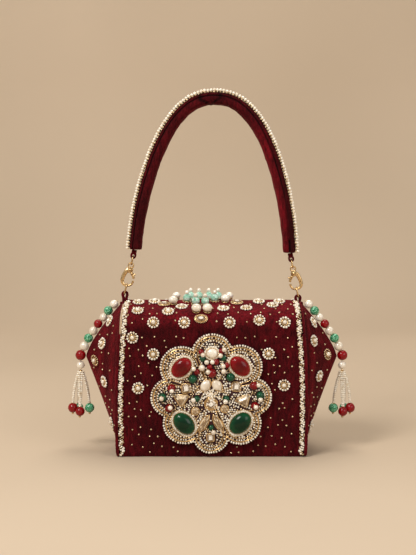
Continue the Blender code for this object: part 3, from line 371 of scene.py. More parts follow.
def facet_group():
    """Cut glass over foil, with painted reflections: each facet takes its own tone between a dark, a body and a
    bright colour, and fine noise adds painted glints.
    """
    tree, entry = open_group("cut facets", "Shader", {"Dark": "Color", "Body": "Color", "Bright": "Color"})
    fire = noise_value(tree, 900)
    glow = times(tree, spread(tree, fire, 0.3, 0.7, -0.5, 0.5), 0.5)
    tone = plus(tree, attribute(tree, "facet"), glow)
    low = blend_colours(tree, spread(tree, tone, 0.0, 0.5), entry["Dark"], entry["Body"])
    return close_group(
        tree, Color=blend_colours(tree, spread(tree, tone, 0.5, 0.95), low, entry["Bright"]),
        Roughness=spread(tree, fire, 0.2, 0.8, 0.03, 0.16),
    )


PILE = pile_group()
LUSTRE = lustre_group()
PLATING = plating_group()
STONE_DEPTH = depth_group()
FACETS = facet_group()


def finish_of(name, group, values, sockets, bump=0.0, bump_distance=0.0001):
    """A material whose colour and roughness come from a group, its values in the order of the group's inputs,
    with the shader's own sockets set plainly."""
    made = bpy.data.materials.new(name)
    made.use_nodes = True
    tree = made.node_tree
    values = [(*value, 1) if isinstance(value, tuple) else value for value in values]
    effect = put(tree, "ShaderNodeGroup", node_tree=group)
    for socket, value in zip(effect.inputs, values):
        socket.default_value = value
    sockets = {"Base Color": effect.outputs["Color"], "Roughness": effect.outputs["Roughness"], **sockets}
    if bump:
        sockets["Normal"] = put(tree, "ShaderNodeBump", {
            "Strength": bump, "Distance": bump_distance, "Height": effect.outputs["Height"],
        }).outputs["Normal"]
    for label, value in sockets.items():
        feed(tree, tree.nodes["Principled BSDF"].inputs[label], value)
    return made


def sheen(weight, tint):
    return {
        "Sheen Weight": weight, "Sheen Roughness": 0.35, "Sheen Tint": (*tint, 1), "Specular IOR Level": 0.1,
    }


def coat(weight, roughness, specular=0.5):
    return {"Coat Weight": weight, "Coat Roughness": roughness, "Specular IOR Level": specular}


VELVET = finish_of(
    "deep red velvet", PILE, ((0.006, 0.0002, 0.0005), (0.23, 0.006, 0.013), 48, 1300),
    sheen(0.22, (0.8, 0.08, 0.1)), 0.9, 0.0006,
)
ROLLED_VELVET = finish_of(
    "rolled dark velvet", PILE, ((0.008, 0.0002, 0.0006), (0.24, 0.006, 0.014), 150, 2400),
    sheen(0.35, (0.8, 0.1, 0.12)), 0.7, 0.0004,
)
PATCH_GROUND = finish_of(
    "dark sewn ground", PILE, ((0.006, 0.001, 0.002), (0.08, 0.008, 0.012), 240, 1500),
    {"Sheen Weight": 0.1, "Sheen Tint": (0.6, 0.1, 0.1, 1)}, 0.6, 0.0003,
)
SATIN = finish_of(
    "red satin lining", PILE, ((0.13, 0.004, 0.012), (0.34, 0.016, 0.035), 24, 2600),
    {"Sheen Weight": 0.15, "Sheen Roughness": 0.3, "Anisotropic": 0.5}, 0.15,
)
TAN_BINDING = finish_of(
    "tan binding", PILE, ((0.3, 0.19, 0.11), (0.72, 0.55, 0.38), 200, 1600),
    {"Sheen Weight": 0.1}, 0.4, 0.0002,
)
PEARL = finish_of(
    "imitation pearl", LUSTRE, ((0.91, 0.85, 0.74), (0.72, 0.62, 0.49), 110),
    {"Metallic": 0.08, **coat(1.0, 0.12)}, 0.04,
)
SEED_WHITE = finish_of(
    "white seed bead", LUSTRE, ((0.93, 0.88, 0.78), (0.72, 0.6, 0.44), 420), coat(0.6, 0.15), 0.05,
)
BOARD = finish_of(
    "grey board", LUSTRE, ((0.36, 0.31, 0.25), (0.26, 0.22, 0.18), 300),
    {"Specular IOR Level": 0.1}, 0.5, 0.0003,
)
GOLD = finish_of(
    "light gold plating", PLATING, ((0.78, 0.55, 0.28), (0.42, 0.25, 0.1)), {"Metallic": 1.0}, 0.12, 0.00005,
)
SEED_GOLD = finish_of(
    "gold seed bead", PLATING, ((0.86, 0.68, 0.42), (0.4, 0.25, 0.11)), {"Metallic": 0.6, "Coat Weight": 0.2},
    0.1, 0.00005,
)
STEEL = finish_of(
    "plated steel", PLATING, ((0.62, 0.62, 0.6), (0.42, 0.41, 0.39)), {"Metallic": 1.0}, 0.15, 0.00005,
)
RUBY = finish_of(
    "deep red glass", STONE_DEPTH, ((0.1, 0.0004, 0.001), (0.26, 0.002, 0.005)), coat(0.1, 0.1, 0.22),
)
EMERALD = finish_of(
    "deep green glass", STONE_DEPTH, ((0.0006, 0.02, 0.007), (0.0014, 0.06, 0.02)), coat(0.1, 0.1, 0.22),
)
RED_BEAD = finish_of(
    "red bead glass", STONE_DEPTH, ((0.09, 0.0005, 0.001), (0.4, 0.003, 0.007)), coat(0.2, 0.05, 0.25),
)
GREEN_BEAD = finish_of(
    "green bead glass", STONE_DEPTH, ((0.0008, 0.03, 0.012), (0.005, 0.13, 0.05)), coat(0.3, 0.05, 0.25),
)
# The finishes below on the cut facets group hold a dark and a bright colour of painted reflections besides the
# glass's own body colour; on the green string beads they are painted sparkle.
SPARKLE_PAINTED_GREEN = finish_of(
    "green glass with painted sparkle", FACETS, ((0.008, 0.11, 0.045), (0.035, 0.27, 0.115), (0.25, 0.62, 0.4)),
    coat(0.4, 0.05, 0.4),
)
MINT = finish_of(
    "mint glass", FACETS, ((0.25, 0.58, 0.42), (0.46, 0.82, 0.65), (0.88, 1.0, 0.95)),
    {"Transmission Weight": 0.2, "IOR": 1.5, **coat(0.5, 0.05)},
)
CRYSTAL = finish_of(
    "clear cut crystal", FACETS, ((0.13, 0.07, 0.035), (0.38, 0.27, 0.17), (0.9, 0.86, 0.78)),
    {"IOR": 1.6, **coat(0.6, 0.02)},
)
CHAMPAGNE = finish_of(
    "champagne crystal", FACETS, ((0.08, 0.04, 0.015), (0.36, 0.235, 0.12), (0.92, 0.78, 0.56)),
    {"IOR": 1.6, **coat(0.6, 0.02)},
)
# Material and slot of each kind of bead, on the medallion, on the strings, and of each kind of large stone
PATCH_KINDS = {
    "pearl": (PEARL, "pearl"), "ruby": (RED_BEAD, "ruby_glass"), "emerald": (GREEN_BEAD, "emerald_glass"),
}
STRING_KINDS = {**PATCH_KINDS, "emerald": (SPARKLE_PAINTED_GREEN, "emerald_glass")}
CABOCHON_KINDS = {"ruby": (RUBY, "ruby_glass"), "emerald": (EMERALD, "emerald_glass")}


# Surfaces of the bag


def half_width(height):
    rise = WIDEST_HALF_WIDTH - BASE_HALF_WIDTH
    fall = WIDEST_HALF_WIDTH - CREASE_HALF_WIDTH
    if height <= WIDEST_HEIGHT:
        return WIDEST_HALF_WIDTH - rise * (1 - height / WIDEST_HEIGHT) ** 2
    return WIDEST_HALF_WIDTH - fall * ((height - WIDEST_HEIGHT) / (CREASE_HEIGHT - WIDEST_HEIGHT)) ** 2


ARC_LENGTH = SHOULDER_RADIUS * (math.pi / 2 - ROOF_SLOPE)
SLOPE_RUN = HALF_DEPTH - SHOULDER_RADIUS + SHOULDER_RADIUS * math.sin(ROOF_SLOPE)
ROOF_LENGTH = ARC_LENGTH + SLOPE_RUN / math.cos(ROOF_SLOPE)
ROOF_PEAK = CREASE_HEIGHT + SHOULDER_RADIUS * math.cos(ROOF_SLOPE) + SLOPE_RUN * math.tan(ROOF_SLOPE)
RIDGE_TOP_HEIGHT = ROOF_PEAK - RIDGE_TOP_DROP
EAR_TOP = RIDGE_TOP_HEIGHT + EAR_RISE
PIVOT_HEIGHT = EAR_TOP + LOOP_RISE
LIP = ROOF_LENGTH - LIP_GAP / 2
NOTCH = LIP - NOTCH_LENGTH


def roof_at(distance, lift=0.0):
    """The point and the outward normal of the front roof, this far up from the crease."""
    angle = min(distance, ARC_LENGTH) / SHOULDER_RADIUS
    past = max(distance - ARC_LENGTH, 0)
    level = max(distance - NOTCH, 0)
    normal = Vector((0, -math.cos(angle), math.sin(angle)))
    along = Vector((0, math.sin(angle), math.cos(angle)))
    centre = Vector((0, SHOULDER_RADIUS - HALF_DEPTH, CREASE_HEIGHT))
    place = centre + normal * (SHOULDER_RADIUS + lift) + along * past
    place.z -= level * math.sin(ROOF_SLOPE)
    return place, normal


def panel_half_width(run):
    if run <= CREASE_HEIGHT:
        return half_width(max(run, 0))
    distance = run - CREASE_HEIGHT
    narrow = NOTCH_DEPTH * min(max((distance - NOTCH + NOTCH_RAMP) / NOTCH_RAMP, 0), 1)
    return CREASE_HALF_WIDTH + (CLOSURE_HALF_WIDTH - CREASE_HALF_WIDTH) * distance / ROOF_LENGTH - narrow


def panel_at(facing, x, run, lift=0.0):
    """A point and normal of the front (-1) or rear (1) panel: run is the way up from the bottom edge,
    negative under the base."""
    bend = 2 * MM
    if run <= -bend:
        place, normal = Vector((0, -HALF_DEPTH - run, -lift)), Vector((0, 0, -1))
    elif run < bend:
        angle = math.radians(90) * (run + bend) / (2 * bend)
        normal = Vector((0, -math.sin(angle), -math.cos(angle)))
        place = Vector((0, bend - HALF_DEPTH, bend)) + normal * (bend + lift)
    elif run <= CREASE_HEIGHT:
        place, normal = Vector((0, -HALF_DEPTH - lift, run)), FORWARD
    else:
        place, normal = roof_at(run - CREASE_HEIGHT, lift)
    return Vector((x, -facing * place.y, place.z)), Vector((0, -facing * normal.y, normal.z))


def ridge_x(height):
    if height <= TIP_HEIGHT:
        return RIDGE_BASE_X + (RIDGE_TIP_X - RIDGE_BASE_X) * (height / TIP_HEIGHT) ** LOWER_RIDGE_POWER
    share = (height - TIP_HEIGHT) / (RIDGE_TOP_HEIGHT - TIP_HEIGHT)
    return RIDGE_TIP_X - (RIDGE_TIP_X - RIDGE_TOP_X) * share**UPPER_RIDGE_POWER


def end_edge(height):
    """The front edge of an end's face, for the row that meets the ridge at this height."""
    if height <= CREASE_HEIGHT:
        return half_width(height) + SEAM_STEP, GUSSET_SETBACK - HALF_DEPTH, height
    share = min((height - CREASE_HEIGHT) / (RIDGE_TOP_HEIGHT - CREASE_HEIGHT), 1)
    distance = share * (ROOF_LENGTH - GUSSET_TOP_HALF)
    place, _ = roof_at(distance, -GUSSET_SETBACK)
    x = CREASE_HALF_WIDTH + (CLOSURE_HALF_WIDTH - CREASE_HALF_WIDTH) * distance / ROOF_LENGTH
    return x + SEAM_STEP, place.y, place.z


def end_point(side, height, share):
    edge_x, edge_y, edge_z = end_edge(height)
    across = abs(share)
    x = edge_x + (ridge_x(height) - edge_x) * (1 - across**GUSSET_CROWN)
    return Vector((side * x, edge_y * share, height + (edge_z - height) * across))


def end_normal(side, height, share):
    step = 0.02
    share = min(max(share, -1 + step), 1 - step)
    along = end_point(side, height + step * TIP_HEIGHT, share) - end_point(side, height, share)
    across = end_point(side, height, share + step) - end_point(side, height, share - step)
    normal = along.cross(across).normalized()
    return normal if normal.x * side > 0 else -normal


def ridge_normal(height):
    run = ridge_x(height + MM) - ridge_x(height - MM)
    return Vector((2 * MM, 0, -run)).normalized()


# Mesh tools


def link(name, data):
    made = bpy.data.objects.new(name, data)
    bpy.context.scene.collection.objects.link(made)
    return made


def add(name, bm, *materials, smooth=True, outward=True):
    """Closes what is modelled into an object of this name."""
    bmesh.ops.remove_doubles(bm, verts=bm.verts, dist=0.002 * MM)
    if outward:
        bmesh.ops.recalc_face_normals(bm, faces=bm.faces)
    data = bpy.data.meshes.new(name)
    bm.to_mesh(data)
    bm.free()
    if smooth:
        data.shade_smooth()
    for material in materials:
        data.materials.append(material)
    return link(name, data)


def settle(made):
    """Turns an object with modifiers into a plain mesh object of the same name."""
    bpy.context.view_layer.update()
    data = bpy.data.meshes.new_from_object(made.evaluated_get(bpy.context.evaluated_depsgraph_get()))
    made.modifiers.clear()
    made.data = data
    return made


def thicken(made, thickness, inner_material=0):
    """Gives a sheet its thickness inwards."""
    wall = made.modifiers.new("wall", "SOLIDIFY")
    wall.thickness = thickness
    wall.offset = -1
    wall.material_offset = inner_material
    return settle(made)


def join(made, body, slot, *nodes):
    """Says which body a piece rides on and the nodes it stands for. The slot is not used."""
    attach(made, body)
    nodes = [node for node in nodes if node]
    if nodes:
        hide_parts(*nodes)
    return made


def join_across_crease(made, face, slot, *nodes):
    """A piece that runs over the crease, where the wall becomes the roof."""
    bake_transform(made)
    if nodes:
        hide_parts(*nodes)


def steps(start, end, count):
    return [start + (end - start) * k / count for k in range(count + 1)]


def angles(count):
    """Evenly spaced angles round a full turn."""
    return [2 * math.pi * k / count for k in range(count)]


def grid(bm, rows, closed=False, painted_shading=None):
    """A sheet over rows of points. The values given for the points are painted shade that darkens the velvet
    there, and below 0 painted light that brightens it.
    """
    layer = bm.verts.layers.float.new("shade") if painted_shading else None
    lines = [[bm.verts.new(point) for point in row] for row in rows]
    for line, row in zip(lines, painted_shading or []):
        for vertex, tone in zip(line, row):
            vertex[layer] = tone
    count = len(rows[0])
    for low, high in zip(lines, lines[1:]):
        for k in range(count if closed else count - 1):
            n = (k + 1) % count
            bm.faces.new((low[k], low[n], high[n], high[k]))
    return lines


def ball(bm, centre, radius, sides, rings, flat=1.0, up=UP):
    """A sphere whose faces come in the same order in each run, because facet tones are drawn in it."""
    turn = Vector(up).to_track_quat("Z", "Y").to_matrix().to_4x4()
    place = Matrix.Translation(Vector(centre)) @ turn @ Matrix.Diagonal((1, 1, flat, 1))
    rows = []
    for rise in steps(0, math.pi, rings)[1:-1]:
        reach, height = radius * math.sin(rise), -radius * math.cos(rise)
        rows.append([place @ Vector((reach * math.sin(a), -reach * math.cos(a), height)) for a in angles(sides)])
    lines = grid(bm, rows, closed=True)
    for line, height in ((lines[0][::-1], -radius), (lines[-1], radius)):
        pole = bm.verts.new(place @ Vector((0, 0, height)))
        for k in range(sides):
            bm.faces.new((line[k - 1], line[k], pole))


def tube(bm, points, section, across=DEPTH, sides=12, closed=False):
    """A tube along the points, capped unless closed. section is a radius, or section(share, angle) gives
    half its width across the path and half its height out from it."""
    points = [Vector(point) for point in points]
    count = len(points)
    rows = []
    for k, point in enumerate(points):
        before = points[k - 1] if k or closed else point
        after = points[(k + 1) % count] if k < count - 1 or closed else point
        along = (after - before).normalized()
        side = (across - along * across.dot(along)).normalized()
        out = along.cross(side)
        row = []
        for angle in angles(sides):
            width, height = section(k / (count - 1), angle) if callable(section) else (section, section)
            row.append(point + side * (width * math.cos(angle)) + out * (height * math.sin(angle)))
        rows.append(row)
    if closed:
        rows.append(rows[0])
    lines = grid(bm, rows, closed=True)
    if not closed:
        bm.faces.new(lines[0][::-1])
        bm.faces.new(lines[-1])


def arc_points(centre, radius, start, end, count):
    """Points on an arc in the XZ plane, angles in degrees from +X towards +Z."""
    turns = [math.radians(angle) for angle in steps(start, end, count)]
    return [Vector((centre[0] + radius * math.cos(a), 0, centre[1] + radius * math.sin(a))) for a in turns]


def oval(x, y, length, width, turn, count):
    """A closed outline in the XY plane."""
    points = []
    c, s = math.cos(turn), math.sin(turn)
    for angle in angles(count):
        a, b = math.cos(angle) * length / 2, math.sin(angle) * width / 2
        points.append((x + a * c - b * s, y + a * s + b * c))
    return points


def on_patch(x, y, rise=0.0):
    """A place above the medallion's face, x and y in metres from its centre."""
    return Vector((MEDALLION_CENTRE.x + x, PATCH_FACE_Y - rise, MEDALLION_CENTRE.z + y))


# Geometry Nodes that sew beads on points, thread them on paths and run wire along paths


BEAD_INPUTS = {"Variation": "Float", "Seed": "Int", "Sides": "Int", "Rings": "Int", "Material": "Material"}


def end_tree(tree, entry, geometry):
    """Realize Instances, smooth shading and Set Material close each tree."""
    real = put(tree, "GeometryNodeRealizeInstances", {"Geometry": geometry}).outputs["Geometry"]
    shade = put(tree, "GeometryNodeSetShadeSmooth", {"Geometry": real}).outputs["Geometry"]
    paint = put(tree, "GeometryNodeSetMaterial", {"Geometry": shade, "Material": entry["Material"]})
    return close_group(tree, Geometry=paint.outputs["Geometry"])


def bead_on_each(tree, entry, points, along, size):
    """A bead on each point, turned its own way, its size times a random share that Variation takes from 1."""
    shape = put(tree, "GeometryNodeMeshUVSphere", {
        "Radius": 1.0, "Segments": entry["Sides"], "Rings": entry["Rings"],
    })
    turn = put(tree, "FunctionNodeAlignRotationToVector", {"Vector": along}, axis="Z")
    chance = put(tree, "FunctionNodeRandomValue", {"Seed": entry["Seed"]}, data_type="FLOAT")
    feed(tree, typed(chance.inputs, "Min", "VALUE"), calculate(tree, "SUBTRACT", 1.0, entry["Variation"]))
    feed(tree, typed(chance.inputs, "Max", "VALUE"), 1.0)
    share = typed(chance.outputs, "Value", "VALUE")
    scaled = put(tree, "ShaderNodeVectorMath", {0: size, "Scale": share}, operation="SCALE")
    beads = put(tree, "GeometryNodeInstanceOnPoints", {
        "Points": points, "Instance": shape.outputs["Mesh"], "Rotation": turn.outputs["Rotation"],
        "Scale": scaled.outputs["Vector"],
    })
    return end_tree(tree, entry, beads.outputs["Instances"])


def sewn_tree():
    """One bead on each point: its attribute size gives three half sizes, and along gives its own axis."""
    tree, entry = open_group("sewn beads", "Geometry", {"Geometry": "Geometry", **BEAD_INPUTS})
    along, size = (
        put(tree, "GeometryNodeInputNamedAttribute", {"Name": name}, data_type="FLOAT_VECTOR")
        .outputs["Attribute"] for name in ("along", "size")
    )
    return bead_on_each(tree, entry, entry["Geometry"], along, size)


def threaded_tree():
    """Beads threaded on each path at a pitch, each turned along the thread."""
    tree, entry = open_group("threaded beads", "Geometry", {
        "Geometry": "Geometry", "Pitch": "Float", "Radius": "Float", "Half length": "Float", **BEAD_INPUTS,
    })
    path = put(tree, "GeometryNodeMeshToCurve", {"Mesh": entry["Geometry"]}).outputs["Curve"]
    places = put(
        tree, "GeometryNodeCurveToPoints", {"Curve": path, "Length": entry["Pitch"]}, mode="LENGTH"
    ).outputs
    size = put(tree, "ShaderNodeCombineXYZ", {
        "X": entry["Radius"], "Y": entry["Radius"], "Z": entry["Half length"],
    })
    return bead_on_each(tree, entry, places["Points"], places["Tangent"], size.outputs["Vector"])


def wire_tree():
    """Round wire along each path."""
    tree, entry = open_group("wire", "Geometry", {
        "Geometry": "Geometry", "Radius": "Float", "Sides": "Int", "Material": "Material",
    })
    path = put(tree, "GeometryNodeMeshToCurve", {"Mesh": entry["Geometry"]}).outputs["Curve"]
    rim = put(tree, "GeometryNodeCurvePrimitiveCircle", {
        "Radius": entry["Radius"], "Resolution": entry["Sides"],
    })
    sweep = put(tree, "GeometryNodeCurveToMesh", {
        "Curve": path, "Profile Curve": rim.outputs["Curve"], "Fill Caps": True,
    })
    return end_tree(tree, entry, sweep.outputs["Mesh"])


SEWN = sewn_tree()
THREADED = threaded_tree()
WIRE = wire_tree()


def grow(name, data, tree, values):
    """Runs a tree on a mesh of points or paths and keeps what it makes as a plain mesh."""
    made = link(name, data)
    maker = made.modifiers.new("maker", "NODES")
    maker.node_group = tree
    for socket in tree.interface.items_tree:
        if socket.name in values:
            maker[socket.identifier] = values[socket.name]
    return settle(made)


def sew(name, points, material, variation=0.08, seed=1, sides=8, rings=6):
    """points are (place, size or (across, across, along), direction)."""
    data = bpy.data.meshes.new(name)
    data.from_pydata([tuple(place) for place, _, _ in points], [], [])
    size = data.attributes.new("size", "FLOAT_VECTOR", "POINT")
    along = data.attributes.new("along", "FLOAT_VECTOR", "POINT")
    for k, (_, extent, direction) in enumerate(points):
        size.data[k].vector = extent if hasattr(extent, "__len__") else (extent, extent, extent)
        along.data[k].vector = direction
    return grow(name, data, SEWN, {
        "Variation": variation, "Seed": seed, "Sides": sides, "Rings": rings, "Material": material,
    })


def path_mesh(name, paths):
    """paths are (points, closed)."""
    places, edges = [], []
    for points, closed in paths:
        start = len(places)
        places += [tuple(point) for point in points]
        edges += [(start + k, start + k + 1) for k in range(len(points) - 1)]
        if closed:
            edges.append((start + len(points) - 1, start))
    data = bpy.data.meshes.new(name)
    data.from_pydata(places, edges, [])
    return data


def thread(name, paths, material, pitch, radius, half_length, seed):
    return grow(name, path_mesh(name, paths), THREADED, {
        "Pitch": pitch, "Radius": radius, "Half length": half_length, "Variation": 0.08, "Seed": seed,
        "Sides": 8, "Rings": 6, "Material": material,
    })


def wire(name, paths, radius):
    return grow(name, path_mesh(name, paths), WIRE, {"Radius": radius, "Sides": 6, "Material": GOLD})


# Velvet panels


def nap_lift(point, amount):
    """A little unevenness, so that the cloth doesn't lie like a plate."""
    return amount * (noise.noise(Vector(point) * 38) + 0.5 * noise.noise(Vector(point) * 95))


def velvet_panel(face):
    facing = FACES[face]
    edge = CREASE_HEIGHT + LIP
    runs = [-HALF_DEPTH + 3 * MM * k for k in range(13)]
    runs += [MM * k for k in (-3, -2, -1.2, -0.4, 0.4, 1.2, 2)]
    runs += steps(2 * MM, CREASE_HEIGHT, 48)[1:]
    runs += [CREASE_HEIGHT + (NOTCH - NOTCH_RAMP) * k / 20 for k in range(1, 21)]
    runs += [CREASE_HEIGHT + NOTCH, CREASE_HEIGHT + NOTCH + NOTCH_LENGTH / 2, edge]
    rows, painted_shading = [], []
    columns = 72
    for run in runs:
        row, tone = [], []
        over_roof = min(1, max(0, (run - CREASE_HEIGHT) / (14 * MM)))
        for k in range(columns + 1):
            share = 2 * k / columns - 1
            # Painted light and shade: the roof is painted brighter, as if lit from above, and the wall darker,
            # most of all across its middle.
            tone.append(0.2 - 0.75 * over_roof + 0.12 * (1 - share**2) * (1 - over_roof))
            x = panel_half_width(run) * share
            place, normal = panel_at(facing, x, run)
            held = min(1, (1 - abs(share)) * 14, max(0, (edge - run) / (8 * MM)))
            lift = nap_lift(place, 0.55 * MM) * held - 1.1 * MM * max(0, abs(share) - 0.975) / 0.025
            if run < 2 * MM:
                lift = min(lift, 0)
            row.append(place + normal * lift)
        rows.append(row[::-facing])
        painted_shading.append(tone)
    bm = bmesh.new()
    grid(bm, rows, painted_shading=painted_shading)
    made = thicken(add(f"velvet_{face}", bm, VELVET, SATIN, outward=False), 1.8 * MM, 1)
    nodes = ["velvet_cover", "front_flap"] if face == "front" else ["rear_flap"]
    join_across_crease(made, face, "velvet", *nodes)


def velvet_end(name):
    side = SIDES[name]
    rows, painted_shading = [], []
    columns = 56
    for height in steps(2 * PIPING_RADIUS + 2 * GAP, RIDGE_TOP_HEIGHT, 64):
        row, tone = [], []
        for k in range(columns + 1):
            share = 1 - 2 * k / columns
            place = end_point(side, height, share)
            normal = end_normal(side, height, share)
            free = min(1, (1 - abs(share)) * 6, abs(share) * 9, (RIDGE_TOP_HEIGHT - height) / (12 * MM))
            fold = math.sin(abs(share) * 19 + 2.2 * noise.noise(Vector((0, share * 2, height * 14))))
            pull = 0.5 + 0.5 * noise.noise(Vector((side, share * 3, height * 22)))
            tucks = 1.0 * MM * fold * pull * (0.35 + 0.65 * (height / RIDGE_TOP_HEIGHT) ** 2)
            # Painted shade: the ends are painted a little darker overall, darker in the hollows of the pleats
            # and lighter on their crests, most towards the front and rear edges, and painted light along the
            # ridge.
            tone.append(0.12 - 1.3 * fold * pull * abs(share) ** 1.5 - 0.3 * (1 - abs(share)))
            row.append(place + normal * (tucks + nap_lift(place, 0.8 * MM) - 0.4 * MM) * max(free, 0))
        rows.append(row[::side])
        painted_shading.append(tone[::side])
    bm = bmesh.new()
    grid(bm, rows, painted_shading=painted_shading)
    made = thicken(add(f"velvet_end_{name}", bm, VELVET, SATIN, outward=False), 1.4 * MM, 1)
    join(made, "root", "velvet", f"gusset_{name}")


def ear(name):
    """The velvet block on top of an end that carries the strap's loop."""
    side = SIDES[name]
    bm = bmesh.new()
    bmesh.ops.create_cube(bm, size=1)
    bmesh.ops.scale(bm, vec=(2 * EAR_REACH, 2 * EAR_HALF_DEPTH, EAR_HEIGHT), verts=bm.verts)
    bmesh.ops.translate(bm, vec=(side * PIVOT_X, 0, EAR_TOP - EAR_HEIGHT / 2), verts=bm.verts)
    made = add(f"ear_{name}", bm, ROLLED_VELVET)
    soft = made.modifiers.new("soft_edges", "BEVEL")
    soft.width = 1.1 * MM
    soft.segments = 3
    join(settle(made), "root", "velvet")


def rolled(radius, twist):
    """The section of cloth rolled round a cord: two strands that wind round each other."""
    def section(share, angle):
        turn = angle + twist * share
        reach = radius * (0.93 + 0.07 * math.cos(2 * turn) + 0.03 * math.sin(5 * angle + 31 * share))
        return reach, reach
    return section


def rolled_piping(name):
    side = SIDES[name]
    low = PIPING_RADIUS + GAP
    out = HALF_DEPTH + 2 * GAP
    bend = 3 * MM
    top = CREASE_HEIGHT - 4 * MM
    half = [Vector((side * (half_width(z) + SEAM_STEP), -out, z)) for z in steps(top, low + bend, 60)]
    x = side * (BASE_HALF_WIDTH + SEAM_STEP)
    for k in range(1, 5):
        angle = math.radians(90) * k / 4
        half.append(Vector((x, -out + bend * (1 - math.cos(angle)), low + bend * (1 - math.sin(angle)))))
    half += [Vector((x, -out + bend + (out - bend) * k / 16, low)) for k in range(1, 17)]
    points = half + [Vector((p.x, -p.y, p.z)) for p in reversed(half[:-1])]
    bm = bmesh.new()
    tube(bm, points, rolled(PIPING_RADIUS, 260), RIGHT, 10)
    join(add(f"piping_{name}", bm, ROLLED_VELVET), "root", "piping", f"piping_{name}")
    for face, facing in FACES.items():
        bm = bmesh.new()
        points = []
        for height in steps(CREASE_HEIGHT - 3 * MM, RIDGE_TOP_HEIGHT - 1.5 * MM, 29):
            edge_x, edge_y, edge_z = end_edge(height)
            points.append(Vector((side * (edge_x + 0.3 * MM), -facing * edge_y, edge_z)))
        tube(bm, points, rolled(1.25 * MM, 70), RIGHT, 10)
        join(add(f"roof_edge_{face}_{name}", bm, ROLLED_VELVET), "root", "piping")


def tan_binding():
    """The strip of tan binding that shows beside the braid at the upper left."""
    bm = bmesh.new()
    points = []
    for run in steps(108 * MM, 170 * MM, 35):
        place, _ = panel_at(-1, 0, run, -0.3 * MM)
        points.append(Vector((-(panel_half_width(run) + 1.2 * MM), place.y, place.z)))
    tube(bm, points, lambda share, _: (
        (0.5 + 0.8 * min(1, 3 * share)) * MM, (0.4 + 0.5 * min(1, 3 * share)) * MM
    ), RIGHT, 10)
    join(add("tan_binding", bm, TAN_BINDING), "root", "lining")


def lining():
    """The satin bag inside: it follows the walls and the ends, and puckers a little."""
    rows = []
    top = CREASE_HEIGHT - 3 * MM
    for z in steps(5.9 * MM, top, 40):
        x = half_width(z) - 4.2 * MM
        y = HALF_DEPTH - 3.8 * MM
        ridge = ridge_x(z) - 4.9 * MM
        corners = [(-x, -y), (x, -y), (ridge, 0), (x, y), (-x, y), (-ridge, 0)]
        row = []
        for k, corner in enumerate(corners):
            after = corners[(k + 1) % 6]
            count = 30 if k in (0, 3) else 10
            for j in range(count):
                share = j / count
                px = corner[0] + (after[0] - corner[0]) * share
                py = corner[1] + (after[1] - corner[1]) * share
                inward = Vector((-px, -py, 0)).normalized()
                pucker = 0.5 * MM * (1 + noise.noise(Vector((px * 70, py * 70, z * 22))))
                row.append(Vector((px, py, z)) + inward * pucker * min(1, (top - z) / (6 * MM) + 0.1))
        rows.append(row)
    bm = bmesh.new()
    lines = grid(bm, rows, closed=True)
    bm.faces.new(lines[0][::-1])
    join(thicken(add("satin_lining", bm, SATIN, outward=False), 0.5 * MM), "root", "lining", "lining")


# Bead rows on the edges


def edge_rows(face, name):
    """A braid up the wall's edge and on over the roof: slanting white beads, gold ones between."""
    facing, side = FACES[face], SIDES[name]
    chance = random.Random(41 + facing + 3 * side)
    white, gold = [], []
    run = 3 * MM
    step = 0
    while run < CREASE_HEIGHT + NOTCH - NOTCH_RAMP:
        swing = 1.3 * MM * math.sin(step * 1.25) + chance.uniform(-0.4, 0.4) * MM
        for k, (across, up) in enumerate(((-0.95, -0.5), (0.75, 0.6), (1.9, 1.3))[:3 if step % 3 else 2]):
            inset = TRIM_INSET + swing * 0.5 + across * MM
            height = run + (up + chance.uniform(-0.3, 0.3)) * MM
            lift = (1.25 - 0.3 * abs(across)) * MM
            place, normal = panel_at(facing, side * (panel_half_width(height) - inset), height, lift)
            if chance.random() < (0.25, 0.12, 0.65)[k]:
                gold.append((place, 0.85 * MM, normal))
            else:
                size = chance.uniform(1.05, 1.35) * MM
                white.append((place, (size, size, size * 0.9), normal))
        for across in (-2.2, 2.3)[step % 2::2]:
            x = side * (panel_half_width(run) - TRIM_INSET - across * MM)
            place, normal = panel_at(facing, x, run, 0.3 * MM)
            gold.append((place, 0.7 * MM, normal))
        run += 2.4 * MM
        step += 1
    pearls = sew(f"edge_pearls_{face}_{name}", white, SEED_WHITE, 0.1, 3)
    join_across_crease(pearls, face, "beadwork", f"trim_{face}_{name}")
    golds = sew(f"edge_gold_{face}_{name}", gold, SEED_GOLD, 0.1, 4)
    join_across_crease(golds, face, "beadwork")


# Rosettes and scattered seed beads


def circle(place, normal, radius, count=16):
    first = normal.orthogonal().normalized()
    second = normal.cross(first)
    return [place + (first * math.cos(angle) + second * math.sin(angle)) * radius for angle in angles(count)]


